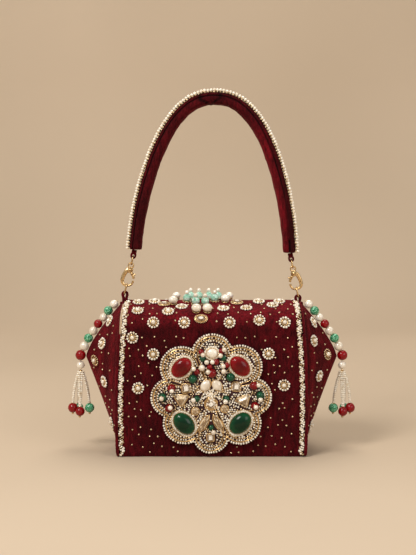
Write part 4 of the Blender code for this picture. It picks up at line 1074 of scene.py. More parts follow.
class Sewing:
    """Gathers what is sewn on one body, so that each kind of bead becomes one piece there."""

    def __init__(self, body, label):
        self.body = body
        self.label = label
        self.pearls, self.seeds, self.golds, self.rings = [], [], [], []

    def rosette(self, place, normal, framed=False):
        self.pearls.append((place + normal * 1.9 * MM, 2.3 * MM, normal))
        self.rings.append((circle(place + normal * 1.2 * MM, normal, 2.95 * MM), True))
        if framed:
            for point in circle(place + normal * 0.9 * MM, normal, 5.2 * MM, 14):
                self.golds.append((point, (0.95 * MM, 0.95 * MM, 0.8 * MM), normal))
            return
        for k, point in enumerate(circle(place + normal * 1.0 * MM, normal, 5.1 * MM, 12)):
            size = (1.25 + 0.2 * (k % 2)) * MM
            self.seeds.append((point, (size, size, size * 0.85), normal))
        for point in circle(place + normal * 0.9 * MM, normal, 3.8 * MM, 9):
            self.golds.append((point, 0.6 * MM, normal))

    def seed(self, place, normal, size=1.0 * MM):
        self.golds.append((place + normal * size * 0.55, (size, size, size * 0.8), normal))

    def sew(self):
        for name, points, material, slot, how in (
            ("rosette_pearls", self.pearls, PEARL, "pearl", (0.05, 5, 14, 9)),
            ("rosette_seeds", self.seeds, SEED_WHITE, "beadwork", (0.24, 6)),
            ("gold_seeds", self.golds, SEED_GOLD, "beadwork", (0.14, 7)),
        ):
            join(sew(f"{name}_{self.label}", points, material, *how), self.body, slot)
        join(wire(f"rosette_rings_{self.label}", self.rings, 0.55 * MM), self.body, "gold")


def near(x, y, taken):
    return any((x - px) ** 2 + (y - py) ** 2 < reach**2 for px, py, reach in taken)


def scatter(width, low, high, pitch, taken, seed):
    """Places about a pitch apart on a flat cut of the cloth, clear of what is taken."""
    chance = random.Random(seed)
    found = []
    row = 0
    y = low
    while y <= high:
        x = -width + (row % 2) * pitch / 2
        while x <= width:
            px = x + chance.uniform(-0.25, 0.25) * pitch
            py = y + chance.uniform(-0.25, 0.25) * pitch
            if abs(px) <= width and low <= py <= high and not near(px, py, taken):
                found.append((px, py))
            x += pitch
        y += pitch * 0.87
        row += 1
    return found


def sew_panel(face):
    facing = FACES[face]
    wall = Sewing("root", f"wall_{face}")
    roof = Sewing(f"{face}_roof", f"roof_{face}")
    crease = CREASE_HEIGHT / MM
    places = list(WALL_ROSETTES[face]) + [(x, crease + distance) for x, distance in ROOF_ROSETTES[face]]
    taken = [(x, run, 8) for x, run in places]
    taken += [(x, crease + distance, radius + 2.5) for _, x, distance, radius in ROOF_PEARLS[face]]
    taken += [(x, crease + distance, 7) for x, distance in MINT_BEADS[face]]
    if face == "front":
        taken += [(MEDALLION_CENTRE.x / MM + x, MEDALLION_CENTRE.z / MM + z, r + 3) for x, z, r in LOBES]
        taken.append((MEDALLION_CENTRE.x / MM, MEDALLION_CENTRE.z / MM, 45))
        taken.append((TOP_CRYSTAL[0], crease + TOP_CRYSTAL[1], 10))
        taken += [(x, crease + distance, 7) for x, distance, _, _, _ in FRAMED_OVALS]
    for x, run in places:
        place, normal = panel_at(facing, x * MM, run * MM)
        (wall if run < crease else roof).rosette(place, normal)
    for x, run in scatter(85, 3.6, crease + NOTCH / MM - 3, 10.4, taken, 11 + facing):
        if abs(run - crease) < 4:
            continue
        place, normal = panel_at(facing, x * MM, run * MM)
        (wall if run < crease else roof).seed(place, normal)
    wall.sew()
    roof.sew()


def sew_end(name):
    side = SIDES[name]
    cloth = Sewing("root", f"end_{name}")
    taken = []
    for height, share, framed in END_ROSETTES[name]:
        for facing in (share, -share):
            cloth.rosette(end_point(side, height * MM, facing), end_normal(side, height * MM, facing), framed)
            taken.append((facing * 40, height, 9))
    for across, height in scatter(34, 10, 142, 10.8, taken, 31 + side):
        if abs(across) < 6:
            continue
        cloth.seed(end_point(side, height * MM, across / 40), end_normal(side, height * MM, across / 40))
    cloth.sew()


# Medallion


def lobed_radius(angle, inset=0.0):
    reach = 0.0
    along = Vector((math.cos(angle), math.sin(angle)))
    for x, z, radius in LOBES:
        centre = Vector((x, z)) * MM
        middle = along.dot(centre)
        inside = (radius * MM - inset) ** 2 - (centre.length_squared - middle**2)
        if inside > 0:
            reach = max(reach, middle + math.sqrt(inside))
    return reach


def lobed_line(inset, rise, count=360):
    points = []
    for angle in angles(count):
        reach = lobed_radius(angle, inset)
        points.append(on_patch(reach * math.cos(angle), reach * math.sin(angle), rise))
    return points


def patch_ground():
    """The sewn ground: scalloped lines from the back to the face, then circles inside them."""
    rows = []
    for inset, rise in (
        (0.4, -PATCH_THICKNESS / MM), (0, -2.4), (0, -0.5), (0.5, 0), (3, 0.1), (10, 0.2),
    ):
        rows.append(lobed_line(inset * MM, rise * MM, 240))
    for radius, rise in ((28, 0.3), (16, 0.35)):
        reach = radius * MM
        rows.append([on_patch(reach * math.cos(a), reach * math.sin(a), rise * MM) for a in angles(240)])
    bm = bmesh.new()
    lines = grid(bm, rows, closed=True)
    bm.faces.new(lines[-1])
    bm.faces.new(lines[0][::-1])
    join(add("medallion_ground", bm, PATCH_GROUND), "root", "beadwork", "medallion_patch")


def clustered(line, pitch, keep, skip, seed):
    """Points along a closed line at a pitch, with every few left out, as beads are sewn in short stitches."""
    chance = random.Random(seed)
    found = []
    left = chance.randint(*keep)
    waiting = 0.0
    for a, b in zip(line, line[1:] + line[:1]):
        run = (b - a).length
        while waiting < run:
            found.append((a.lerp(b, waiting / run), (b - a).normalized()))
            waiting += pitch
            left -= 1
            if left == 0:
                waiting += skip
                left = chance.randint(*keep)
        waiting -= run
    return found


def patch_rows():
    """The rows that follow the scallops: white beads outside, then mixed rows between thin gold wires."""
    white, gold = [], []
    chance = random.Random(6)
    rows = [
        (1.1, 2.55, 1.3, (4, 9), 0.6, 0.95),
        (4.5, 2.5, 1.0, (2, 5), 1.3, 0.7),
        (7.5, 2.45, 1.15, (3, 6), 1.0, 0.78),
    ]
    for seed, (inset, pitch, size, keep, skip, pale) in enumerate(rows, 3):
        for point, along in clustered(lobed_line(inset * MM, 0.7 * MM), pitch * MM, keep, skip * MM, seed):
            place = point + Vector((chance.uniform(-0.2, 0.2), 0, chance.uniform(-0.2, 0.2))) * MM
            half = size * chance.uniform(0.88, 1.05) * MM
            (white if chance.random() < pale else gold).append((place, (half, half, half * 0.88), along))
    return white, gold


def stone_footprints():
    """What the fill stays clear of: (x, y, half length, half width, turn), in millimetres."""
    taken = []
    for stones in CABOCHONS.values():
        taken += [(x, z, a / 2 + 2.6, b / 2 + 2.6, turn) for _, x, z, a, b, turn, _ in stones]
    for _, x, z, a, b, turn, _ in [WHITE_OVAL, *MARQUISES, *DROPS]:
        taken.append((x, z, a / 2 + 1.4, b / 2 + 1.4, turn))
    taken += [(x, z, side * 0.72 + 0.8, side * 0.72 + 0.8, 0) for _, x, z, side, _, _ in SQUARES]
    taken.append((CENTRE_SQUARE[1], CENTRE_SQUARE[2], 7.6, 7.6, 0))
    for _, x, z, a, b, _, _ in TRIANGLES:
        taken += [(x, z + b * 0.22, a * 0.5, b * 0.32, 0), (x, z - b * 0.18, a * 0.26, b * 0.36, 0)]
    taken += [(x, z, radius + 1.5, radius + 1.5, 0) for _, x, z, radius in PALE_ROUNDS]
    for beads in PATCH_BEADS.values():
        taken += [(x, z, radius + 0.4, radius + 0.4, 0) for x, z, radius in beads]
    return taken


def inside_any(x, y, taken):
    for px, py, a, b, turn in taken:
        angle = math.radians(turn)
        dx, dy = x - px, y - py
        u = dx * math.cos(angle) + dy * math.sin(angle)
        v = dy * math.cos(angle) - dx * math.sin(angle)
        if (u / a) ** 2 + (v / b) ** 2 < 1:
            return True
    return False


def patch_fill(white, gold):
    """Mixed white and gold beads and short bugles over the ground between the stones."""
    chance = random.Random(12)
    taken = stone_footprints()
    pitch = 2.55
    row = 0
    y = -60.0
    while y <= 62:
        x = -60 + (row % 2) * pitch / 2
        while x <= 60:
            px = x + chance.uniform(-0.4, 0.4)
            py = y + chance.uniform(-0.4, 0.4)
            kind = chance.random()
            lean = chance.uniform(0, math.pi)
            x += pitch
            reach = math.hypot(px, py) * MM
            if reach > lobed_radius(math.atan2(py, px), 9 * MM) or inside_any(px, py, taken):
                continue
            place = on_patch(px * MM, py * MM, 0.75 * MM)
            along = Vector((math.cos(lean), -0.15, math.sin(lean)))
            if kind < 0.57:
                size = chance.uniform(1.0, 1.25) * MM
                white.append((place, (size, size, size * 0.85), along))
            elif kind < 0.8:
                size = chance.uniform(0.75, 1.0) * MM
                gold.append((place, (size, size, size), along))
            elif kind < 0.95:
                gold.append((place, (0.65 * MM, 0.65 * MM, 1.8 * MM), along))
        y += pitch * 0.87
        row += 1


def rope(x, y, length, width, turn, rise, reach=0.55 * MM):
    """Two threads of seed beads that wind round each other on an oval, its size in millimetres."""
    count = 220
    lines = []
    x, y, length, width = x * MM, y * MM, length * MM, width * MM
    outline = oval(x, y, length, width, math.radians(turn), count)
    turns = round(math.pi * (length + width) / 2 / (4.2 * MM))
    for strand in (0, math.pi):
        line = []
        for angle, (px, py) in zip(angles(count), outline):
            wind = turns * angle + strand
            out = Vector((px - x, py - y)).normalized() * math.cos(wind) * reach
            line.append(on_patch(px + out.x, py + out.y, rise + reach * math.sin(wind)))
        lines.append((line, True))
    return lines


def rim_attribute(data, centre_reach):
    """Marks each vertex by how near it is to the stone's edge, from 0 in the middle to 1."""
    mark = data.attributes.new("rim", "FLOAT", "POINT")
    for k, vertex in enumerate(data.vertices):
        mark.data[k].value = centre_reach(vertex.co)


def facet_attribute(data, seed, painted_shading=None):
    """Gives each face a tone of its own, a painted reflection from dark to bright. A function of the face and
    its random tone may set it instead.
    """
    chance = random.Random(seed)
    mark = data.attributes.new("facet", "FLOAT", "FACE")
    for k, face in enumerate(data.polygons):
        tone = chance.uniform(0, 1)
        mark.data[k].value = painted_shading(face, tone) if painted_shading else tone


def stand_on_patch(bm, x, z, turn, rise=0.2):
    """Turns a shape drawn in XY by degrees and stands it on the medallion's face, in millimetres."""
    bmesh.ops.rotate(bm, cent=(0, 0, 0), matrix=Matrix.Rotation(math.radians(turn), 3, "Z"), verts=bm.verts)
    bmesh.ops.rotate(bm, cent=(0, 0, 0), matrix=Matrix.Rotation(math.pi / 2, 3, "X"), verts=bm.verts)
    bmesh.ops.translate(bm, vec=on_patch(x * MM, z * MM, rise * MM), verts=bm.verts)


def cabochon_shape(bm, length, width, height, point=0.0, sides=36, rings=11):
    """A domed stone on the XY plane. point draws one end out into a drop."""
    rows = []
    for ring in range(rings):
        angle = math.radians(90) * ring / rings
        row = []
        for turn in angles(sides):
            narrow = 1 - point * max(0, math.cos(turn)) ** 2
            x = math.cos(turn) * math.cos(angle) * length / 2
            y = math.sin(turn) * math.cos(angle) * width / 2 * narrow
            row.append(Vector((x, y, height * math.sin(angle) ** 0.85)))
        rows.append(row)
    lines = grid(bm, [[Vector((p.x, p.y, -0.3 * MM)) for p in rows[0]], *rows], closed=True)
    top = bm.verts.new((0, 0, height))
    for k in range(sides):
        bm.faces.new((lines[-1][k], lines[-1][(k + 1) % sides], top))
    bm.faces.new(lines[0][::-1])


def cabochon(name, x, z, length, width, turn, height, material, slot, node=None, point=0.0):
    bm = bmesh.new()
    cabochon_shape(bm, length * MM, width * MM, height * MM, point)
    stand_on_patch(bm, x, z, turn)
    made = add(name, bm, material)
    centre = on_patch(x * MM, z * MM)
    reach = (length + width) / 4 * MM
    rim_attribute(made.data, lambda co: min(1, math.hypot(co.x - centre.x, co.z - centre.z) / reach) ** 2.2)
    join(made, "root", slot, node)


def cut_shape(bm, outline, height, crown=0.74, table=0.46, waist=0.62):
    """A step-cut stone: a low wall, two rings of facets and the table."""
    rings = [(1.0, -0.2), (1.0, 0.18), (crown, waist), (table, 1.0)]
    rows = [[Vector((x * scale, y * scale, height * rise)) for x, y in outline] for scale, rise in rings]
    lines = grid(bm, rows, closed=True)
    bm.faces.new(lines[-1])
    bm.faces.new(lines[0][::-1])


def square_outline(side, corner=0.22):
    """Eight points: a square with its corners cut."""
    half, cut = side / 2, side * corner
    points = []
    for sx, sy in ((1, 1), (-1, 1), (-1, -1), (1, -1)):
        near_x, near_y = (sx * half, sy * (half - cut)), (sx * (half - cut), sy * half)
        points += [near_x, near_y] if sx * sy > 0 else [near_y, near_x]
    return points


def marquise_outline(length, width, count=9):
    """Two arcs that meet in points."""
    half, rise = length / 2, width / 2
    radius = (half**2 + rise**2) / (2 * rise)
    span = math.asin(half / radius)
    upper = []
    for k in range(count):
        angle = span - 2 * span * k / (count - 1)
        upper.append((radius * math.sin(angle), radius * math.cos(angle) - radius + rise))
    return upper + [(x, -y) for x, y in reversed(upper[1:-1])]


def triangle_outline(length, width):
    """A triangle with cut corners, its point down."""
    points = []
    corners = [Vector((length / 2, width / 2)), Vector((-length / 2, width / 2)), Vector((0, -width / 2))]
    for k, corner in enumerate(corners):
        before, after = corners[k - 1], corners[(k + 1) % 3]
        points.append(tuple(corner.lerp(before, 0.16)))
        points.append(tuple(corner.lerp(after, 0.16)))
    return points


def cut_stone(name, x, z, outline, height, turn, material, slot, node=None, seed=1, painted_shading=None):
    bm = bmesh.new()
    cut_shape(bm, [(px * MM, py * MM) for px, py in outline], height * MM)
    stand_on_patch(bm, x, z, turn)
    made = add(name, bm, material, smooth=False)
    # Each facet gets a painted reflection, a tone from dark to bright.
    facet_attribute(made.data, seed, painted_shading)
    join(made, "root", slot, node)


def turned(outline, x, z, turn, grow_by, rise):
    """An outline grown by a width and placed on the patch, as a closed path."""
    angle = math.radians(turn)
    points = []
    for px, py in outline:
        reach = math.hypot(px, py)
        scale = (reach + grow_by) / reach
        u, v = px * scale, py * scale
        points.append(on_patch(
            (x + u * math.cos(angle) - v * math.sin(angle)) * MM,
            (z + u * math.sin(angle) + v * math.cos(angle)) * MM, rise * MM,
        ))
    return points, True


def bead_rise(kind, x, z, radius):
    """Coloured beads sit low on the patch, and a pearl climbs onto a bead that lies under it."""
    if kind != "pearl":
        return radius * BEAD_SEAT
    rise = PEARL_RISE
    for under_x, under_z, reach in PATCH_BEADS["ruby"] + PATCH_BEADS["emerald"]:
        climb = (reach + radius * 0.25) ** 2 - (x - under_x) ** 2 - (z - under_z) ** 2
        if climb > 0:
            rise = max(rise, reach * BEAD_SEAT + math.sqrt(climb))
    return rise


def medallion():
    patch_ground()
    white, gold = patch_rows()
    patch_fill(white, gold)
    ropes, frames, fine_frames = [], [], []
    fine_frames += [(lobed_line(inset * MM, 0.7 * MM, 240), True) for inset in (2.75, 3.35, 6.0)]
    for kind, stones in CABOCHONS.items():
        material, slot = CABOCHON_KINDS[kind]
        for name, x, z, length, width, turn, height in stones:
            cabochon(f"{name}_glass", x, z, length, width, turn, height, material, slot, name)
            ropes += rope(x, z, length + 2.6, width + 2.6, turn, 1.1 * MM)
            edge = oval(0, 0, length + 0.2, width + 0.2, 0, 64)
            fine_frames.append(turned(edge, x, z, turn, 0.1, 0.9))
            fine_frames.append(turned(edge, x, z, turn, 2.7, 0.5))
    name, x, z, length, width, turn, height = WHITE_OVAL
    cabochon("white_oval", x, z, length, width, turn, height, PEARL, "pearl", name)
    ropes += rope(x, z, length + 2.4, width + 2.4, 0, 0.9 * MM, 0.45 * MM)
    frames.append(turned(oval(0, 0, length, width, 0, 48), x, z, turn, 0.3, 0.8))
    for name, x, z, length, width, turn, height in DROPS:
        cabochon(name, x, z, length, width, turn, height, PEARL, "pearl", point=0.5)
        frames.append(turned(oval(0, 0, length, width * 0.86, 0, 40), x, z, turn, 0.4, 0.7))
    for name, x, z, length, width, turn, height in MARQUISES:
        outline = marquise_outline(length, width)
        # Painted highlights: about a quarter of the facets are painted bright, the others dark to middle.
        cut_stone(
            f"{name}_cut", x, z, outline, height, turn, CHAMPAGNE, "champagne_crystal", name, 21,
            lambda face, tone: 0.95 if tone > 0.72 else 0.2 + 0.6 * tone,
        )
        frames.append(turned(outline, x, z, turn, 0.4, 0.7))
    name, x, z, side, turn, height = CENTRE_SQUARE
    cut_stone("centre_square", x, z, square_outline(side), height, turn, CRYSTAL, "crystal", name, 22)
    frames.append(turned(square_outline(side), x, z, turn, 0.5, 0.8))
    frames.append(turned(square_outline(side + 3.6, 0.29), x, z, turn, 0.4, 0.7))
    fine_frames.append(turned(square_outline(side + 1.8, 0.27), x, z, turn, 0.4, 0.6))
    for name, x, z, side, turn, height in SQUARES:
        cut_stone(name, x, z, square_outline(side, 0.14), height, turn, CRYSTAL, "crystal", None, 23)
        frames.append(turned(square_outline(side, 0.14), x, z, turn, 0.5, 0.7))
    for name, x, z, length, width, turn, height in TRIANGLES:
        outline = triangle_outline(length, width)
        # Painted reflections: the table, which faces the front, is painted a dim tone, the other facets dark to
        # bright at random.
        cut_stone(name, x, z, outline, height, turn, CHAMPAGNE, "champagne_crystal", None, 24,
                  lambda face, tone: 0.3 if face.normal.y < -0.95 else 0.1 + 0.85 * tone)
        frames.append(turned(outline, x, z, turn, 0.5, 0.7))
    for name, x, z, radius in PALE_ROUNDS:
        outline = oval(0, 0, 2 * radius, 2 * radius, 0, 12)
        # Painted reflections: each facet a middle to bright tone at random.
        cut_stone(name, x, z, outline, 2.4, 0, CHAMPAGNE, "champagne_crystal", None, 25,
                  lambda face, tone: 0.4 + 0.5 * tone)
        frames.append(turned(oval(0, 0, 2 * radius, 2 * radius, 0, 20), x, z, 0, 0.5, 0.6))
    for kind, beads in PATCH_BEADS.items():
        material, slot = PATCH_KINDS[kind]
        bm = bmesh.new()
        for x, z, radius in beads:
            rise = bead_rise(kind, x, z, radius)
            ball(bm, on_patch(x * MM, z * MM, rise * MM), radius * MM, 18, 12)
            if kind == "pearl":
                frames.append(turned(oval(0, 0, 2 * radius, 2 * radius, 0, 16), x, z, 0, -0.3, rise - 1))
        made = add(f"patch_beads_{kind}", bm, material)
        rim_attribute(made.data, lambda co: 0.35)
        join(made, "root", slot)
    join(sew("patch_seeds_white", white, SEED_WHITE, 0.12, 8, 8, 5), "root", "beadwork")
    join(sew("patch_seeds_gold", gold, SEED_GOLD, 0.1, 9, 8, 5), "root", "beadwork")
    made = thread("stone_ropes", ropes, SEED_WHITE, 1.55 * MM, 0.78 * MM, 0.72 * MM, seed=10)
    join(made, "root", "beadwork")
    join(wire("stone_frames", frames, 0.55 * MM), "root", "gold")
    join(wire("stone_edges", fine_frames, 0.45 * MM), "root", "gold")


# Beads on the roof


def roof_place(face, x, distance, lift):
    return panel_at(FACES[face], x * MM, CREASE_HEIGHT + distance * MM, lift)


def comb(face):
    """Mint beads on pins, each with a finial pearl, and the pearls at both ends."""
    body = f"{face}_roof"
    mint, finials, pins, caps, rings = bmesh.new(), bmesh.new(), [], [], []
    for k, (x, distance) in enumerate(MINT_BEADS[face]):
        centre, normal = roof_place(face, x, distance, GAP + MINT_RADIUS)
        ball(mint, centre, MINT_RADIUS * 1.07, 10, 7, 1.0, normal)
        top = centre + normal * (MINT_RADIUS + FINIAL_RADIUS - 0.2 * MM)
        ball(finials, top, FINIAL_RADIUS, 18, 12)
        caps.append((centre + normal * (MINT_RADIUS + 0.1 * MM), (1.1 * MM, 1.1 * MM, 0.6 * MM), normal))
        caps.append((top + normal * FINIAL_RADIUS, 0.5 * MM, normal))
        foot, _ = roof_place(face, x, distance, 0)
        pins.append(([foot, foot + normal * MINT_RADIUS], False))
        rings.append((circle(foot + normal * 0.7 * MM, normal, 2.8 * MM), True))
        for point in circle(foot + normal * 0.6 * MM, normal, 4.2 * MM, 9):
            caps.append((point, 0.7 * MM, normal))
    nodes = [f"mint_bead_{face}_{k}" for k in range(1, len(MINT_BEADS[face]) + 1)]
    made = add(f"mint_beads_{face}", mint, MINT, smooth=False)
    # Painted reflections: each facet of the mint glass gets a tone of its own from dark to near white.
    facet_attribute(made.data, 40)
    join(made, body, "mint_glass", *nodes)
    join(add(f"finial_pearls_{face}", finials, PEARL), body, "pearl")
    pearls = bmesh.new()
    for _, x, distance, radius in ROOF_PEARLS[face]:
        centre, normal = roof_place(face, x, distance, GAP + radius * MM)
        ball(pearls, centre, radius * MM, 28, 18, 0.84)
        foot, _ = roof_place(face, x, distance, 1.2 * MM)
        rings.append((circle(foot, normal, radius * 0.72 * MM, 20), True))
    made = add(f"roof_pearls_{face}", pearls, PEARL)
    join(made, body, "pearl", *[name for name, _, _, _ in ROOF_PEARLS[face]])
    join(sew(f"comb_caps_{face}", caps, SEED_GOLD, 0.05, 13), body, "gold")
    join(wire(f"comb_wire_{face}", rings + pins, 0.5 * MM), body, "gold")


def framed_oval(name, x, distance, length, width, height, node=None):
    """A cut oval stone in a gold frame edged with small beads, lying on the roof."""
    place, normal = roof_place("front", x, distance, 0.6 * MM)
    turn = Matrix((RIGHT, normal.cross(RIGHT), normal)).transposed().to_4x4()
    stand = Matrix.Translation(place) @ turn
    bm = bmesh.new()
    cut_shape(bm, oval(0, 0, length * MM, width * MM, 0, 16), height * MM, 0.8, 0.5, 0.66)
    bmesh.ops.transform(bm, matrix=stand, verts=bm.verts)
    made = add(name, bm, CRYSTAL, smooth=False)
    # Painted highlight: the table is painted bright, the other facets dark to middle.
    facet_attribute(
        made.data, 51, lambda face, tone: 0.95 if face.normal.dot(normal) > 0.97 else 0.1 + 0.4 * tone
    )
    join(made, "front_roof", "crystal", node)
    frames = []
    for wider, rise in ((0.7, 0.9), (1.9, 0.4)):
        outline = oval(0, 0, (length + wider) * MM, (width + wider) * MM, 0, 36)
        frames.append(([stand @ Vector((px, py, rise * MM)) for px, py in outline], True))
    join(wire(f"{name}_frame", frames, 0.45 * MM), "front_roof", "gold")
    edge = oval(0, 0, (length + 3.4) * MM, (width + 3.4) * MM, 0, 20)
    beads = [(stand @ Vector((px, py, 0.4 * MM)), 0.75 * MM, normal) for px, py in edge]
    join(sew(f"{name}_edge", beads, SEED_GOLD, 0.05, 14), "front_roof", "gold")


# Bead strings and tassels


def string_places():
    """Bead centres from the top down, as (centre, radius, ridge normal) for the right-hand end."""
    found = []
    height = TIP_HEIGHT + STRING_END_RISE
    for radius in reversed([r * MM for r in STRING_RADII]):
        while True:
            normal = ridge_normal(height)
            centre = Vector((ridge_x(height), 0, height)) + normal * (radius + GAP)
            if not found or (centre - found[-1][0]).length >= found[-1][1] + radius - BEAD_OVERLAP:
                break
            height += 0.05 * MM
        found.append((centre, radius, normal))
    return found[::-1]


def bead_string(name):
    side = SIDES[name]
    beads = [(Vector((side * c.x, c.y, c.z)), radius) for c, radius, _ in string_places()]
    for kind, (material, slot) in STRING_KINDS.items():
        bm = bmesh.new()
        for (centre, radius), own in zip(beads, STRING_ORDER):
            if own == kind:
                ball(bm, centre, radius, 28, 18)
        made = add(f"string_{kind}_{name}", bm, material)
        rim_attribute(made.data, lambda co: 0.5)
        # Painted sparkle: each face gets a tone of its own, which only the green glass shows.
        facet_attribute(made.data, 61)
        join(made, "root", slot, f"bead_string_{name}" if kind == "pearl" else None)
    spacers = []
    for (first, radius), (second, _) in zip(beads, beads[1:]):
        along = (second - first).normalized()
        spacers.append((first + along * radius, (1.5 * MM, 1.5 * MM, 0.6 * MM), along))
    spacers.append((beads[0][0] - (beads[1][0] - beads[0][0]).normalized() * beads[0][1], 1.1 * MM, UP))
    spacers.append((beads[-1][0] - UP * (beads[-1][1] + GAP / 2), 0.5 * MM, UP))
    join(sew(f"string_spacers_{name}", spacers, SEED_GOLD, 0.02, 15, 14, 8), "root", "gold")


def tassel(name):
    side = SIDES[name]
    last, radius, _ = string_places()[-1]
    hook = Vector((side * last.x, 0, last.z - radius - GAP / 2))
    pearl = hook - UP * (GAP / 2 + TASSEL_PEARL_RADIUS + PEARL_CLEARANCE)
    bm = bmesh.new()
    ball(bm, pearl, TASSEL_PEARL_RADIUS - PEARL_CLEARANCE, 28, 18)
    made = add(f"hook_pearl_{name}", bm, PEARL)
    join(made, f"hook_pearl_{name}", "pearl", f"tassel_pearl_{name}")
    hang = hook - UP * (GAP + 2 * TASSEL_PEARL_RADIUS)
    body = f"tassel_{name}"
    lines, stops = [], []
    ends = {"ruby": bmesh.new(), "emerald": bmesh.new()}
    knot = hang - UP * (GAP / 2 + KNOT_RADIUS)
    stops.append((knot, (KNOT_RADIUS, KNOT_RADIUS, 1.6 * MM), UP))
    stops.append((hang - UP * 1.7 * MM, (2.3 * MM, 2.3 * MM, 0.6 * MM), UP))
    for out, front, drop, size, kind in STRANDS:
        end = hang + Vector((side * out, -front, -drop)) * MM
        bow = Vector((side * out, -front, 0)) * (STRAND_BOW * MM)
        for turn in (-42, 0, 42):
            away = Matrix.Rotation(math.radians(turn), 3, "Z") @ Vector((side * out, -front, 0)).normalized()
            start = hang - UP * 2.6 * MM + away * 2.6 * MM
            middle = start.lerp(end, 0.5) + bow + away * 0.8 * MM
            pull = 2 * middle - (start + end) / 2
            line = [start * (1 - t) ** 2 + pull * (2 * t * (1 - t)) + end * t**2 for t in steps(0, 1, 30)]
            lines.append((line, False))
        ball(ends[kind], end, size * MM, 24, 16)
        way = (line[-1] - line[-2]).normalized()
        stops.append((end + way * (size + 0.6) * MM, (1.3 * MM, 1.3 * MM, 1.1 * MM), way))
        stops.append((end - way * (size + 0.2) * MM, (1.4 * MM, 1.4 * MM, 0.7 * MM), way))
    whites = thread(f"strand_seeds_{name}", lines, SEED_WHITE, 1.95 * MM, 1.35 * MM, 1 * MM, seed=16)
    join(whites, body, "beadwork", f"tassel_strands_{name}")
    shifted = [([point + Vector((0, 0.5 * MM, 0)) for point in line[1:]], False) for line, _ in lines]
    golds = thread(f"strand_gold_{name}", shifted, SEED_GOLD, 3.6 * MM, 0.95 * MM, 0.8 * MM, seed=17)
    join(golds, body, "gold")
    join(sew(f"strand_stops_{name}", stops, GOLD, 0.02, 18, 12, 8), body, "gold")
    for kind, bm in ends.items():
        material, slot = STRING_KINDS[kind]
        made = add(f"strand_{kind}_{name}", bm, material)
        # Painted sparkle: each face gets a tone of its own, which only the green glass shows.
        facet_attribute(made.data, 62)
        rim_attribute(made.data, lambda co: 0.5)
        join(made, body, slot)


# Handle


HANDLE_PLACE = Matrix.Translation((0, 0, PIVOT_HEIGHT)) @ Matrix.Rotation(HANDLE_LEAN, 4, "Y")


def chain_place(side):
    lean = Matrix.Rotation(-side * CHAIN_LEAN, 4, "Y")
    return HANDLE_PLACE @ Matrix.Translation((side * PIVOT_X, 0, 0)) @ lean


def strap_line(count):
    """Even (point, outward, along) places on the strap's middle line, right to left, before the lean."""
    fine = []
    last = 800
    for angle in steps(0, math.pi, last):
        across = math.copysign(abs(math.cos(angle)) ** (2 / STRAP_X_POWER), math.cos(angle))
        up = abs(math.sin(angle)) ** (2 / STRAP_Z_POWER)
        fine.append(Vector((STRAP_HALF_SPAN * across, 0, STRAP_FOOT + STRAP_RISE * up)))
    lengths = [0.0]
    for a, b in zip(fine, fine[1:]):
        lengths.append(lengths[-1] + (b - a).length)
    places = []
    index = 0
    for k in range(count + 1):
        want = lengths[-1] * k / count
        while index < last - 1 and lengths[index + 1] < want:
            index += 1
        share = (want - lengths[index]) / (lengths[index + 1] - lengths[index])
        point = fine[index].lerp(fine[index + 1], share)
        along = (fine[min(index + 6, last)] - fine[max(index - 5, 0)]).normalized()
        places.append((point, Vector((along.z, 0, -along.x)), along))
    return places


def padded_strap():
    """Velvet sewn over padding: rounded, with a seam along each side and a tuck where it was pinched."""
    count, tuck = 150, 0.515
    rows, painted_shading = [], []
    for k, (point, outward, _) in enumerate(strap_line(count)):
        share = k / count
        end = min(share, 1 - share)
        close = 1 - 0.1 * max(0, 1 - end / 0.01) ** 2
        row, tone = [], []
        for angle in angles(56):
            c, s = math.cos(angle), math.sin(angle)
            width = math.copysign(abs(c) ** 0.6, c) * STRAP_WIDTH / 2
            height = math.copysign(abs(s) ** 0.72, s) * STRAP_THICKNESS / 2
            level = height / (STRAP_THICKNESS / 2)
            seam_level = 0.42 - 0.9 * max(0, 0.5 - share)
            seam = math.exp(-((level - seam_level) / 0.11) ** 2)
            right = max(0, 0.5 - share) * 2
            inner = max(0, -level)
            fold_reach = 0.004 + 0.022 * (1 - inner)
            fold = math.exp(-((share - tuck - fold_reach) / 0.005) ** 2)
            fold += math.exp(-((share - tuck + fold_reach) / 0.005) ** 2)
            bulge = math.exp(-((share - tuck) / 0.006) ** 2) * inner
            spot = point + outward * height + DEPTH * width
            crumple = 0.5 * MM * noise.noise(spot * 60) + 0.4 * MM * noise.noise(spot * 170)
            draw = close * (1 - 0.2 * seam - 0.12 * fold)
            low = 1 if level < seam_level else 0
            # Painted shade in the seam's groove and in the folds of the tuck, and a little over the whole strap;
            # on the right half, painted light on the inner roll below the seam and painted shade above it.
            tone.append(0.3 + 0.75 * seam + 0.8 * min(1, fold) - right**0.7 * (1.15 * low - 0.3 * (1 - low)))
            sink = (1.2 * bulge - 0.9 * fold * inner) * MM
            rise = height * close - sink + crumple * s - 0.3 * MM
            row.append(point + outward * rise + DEPTH * (width * draw + crumple * c))
        rows.append(row)
        painted_shading.append(tone)
    bm = bmesh.new()
    lines = grid(bm, rows, closed=True, painted_shading=painted_shading)
    bm.faces.new(lines[0][::-1])
    bm.faces.new(lines[-1])
    made = add("padded_strap", bm, VELVET)
    made.data.transform(HANDLE_PLACE)
    join(made, "handle", "velvet", "strap")


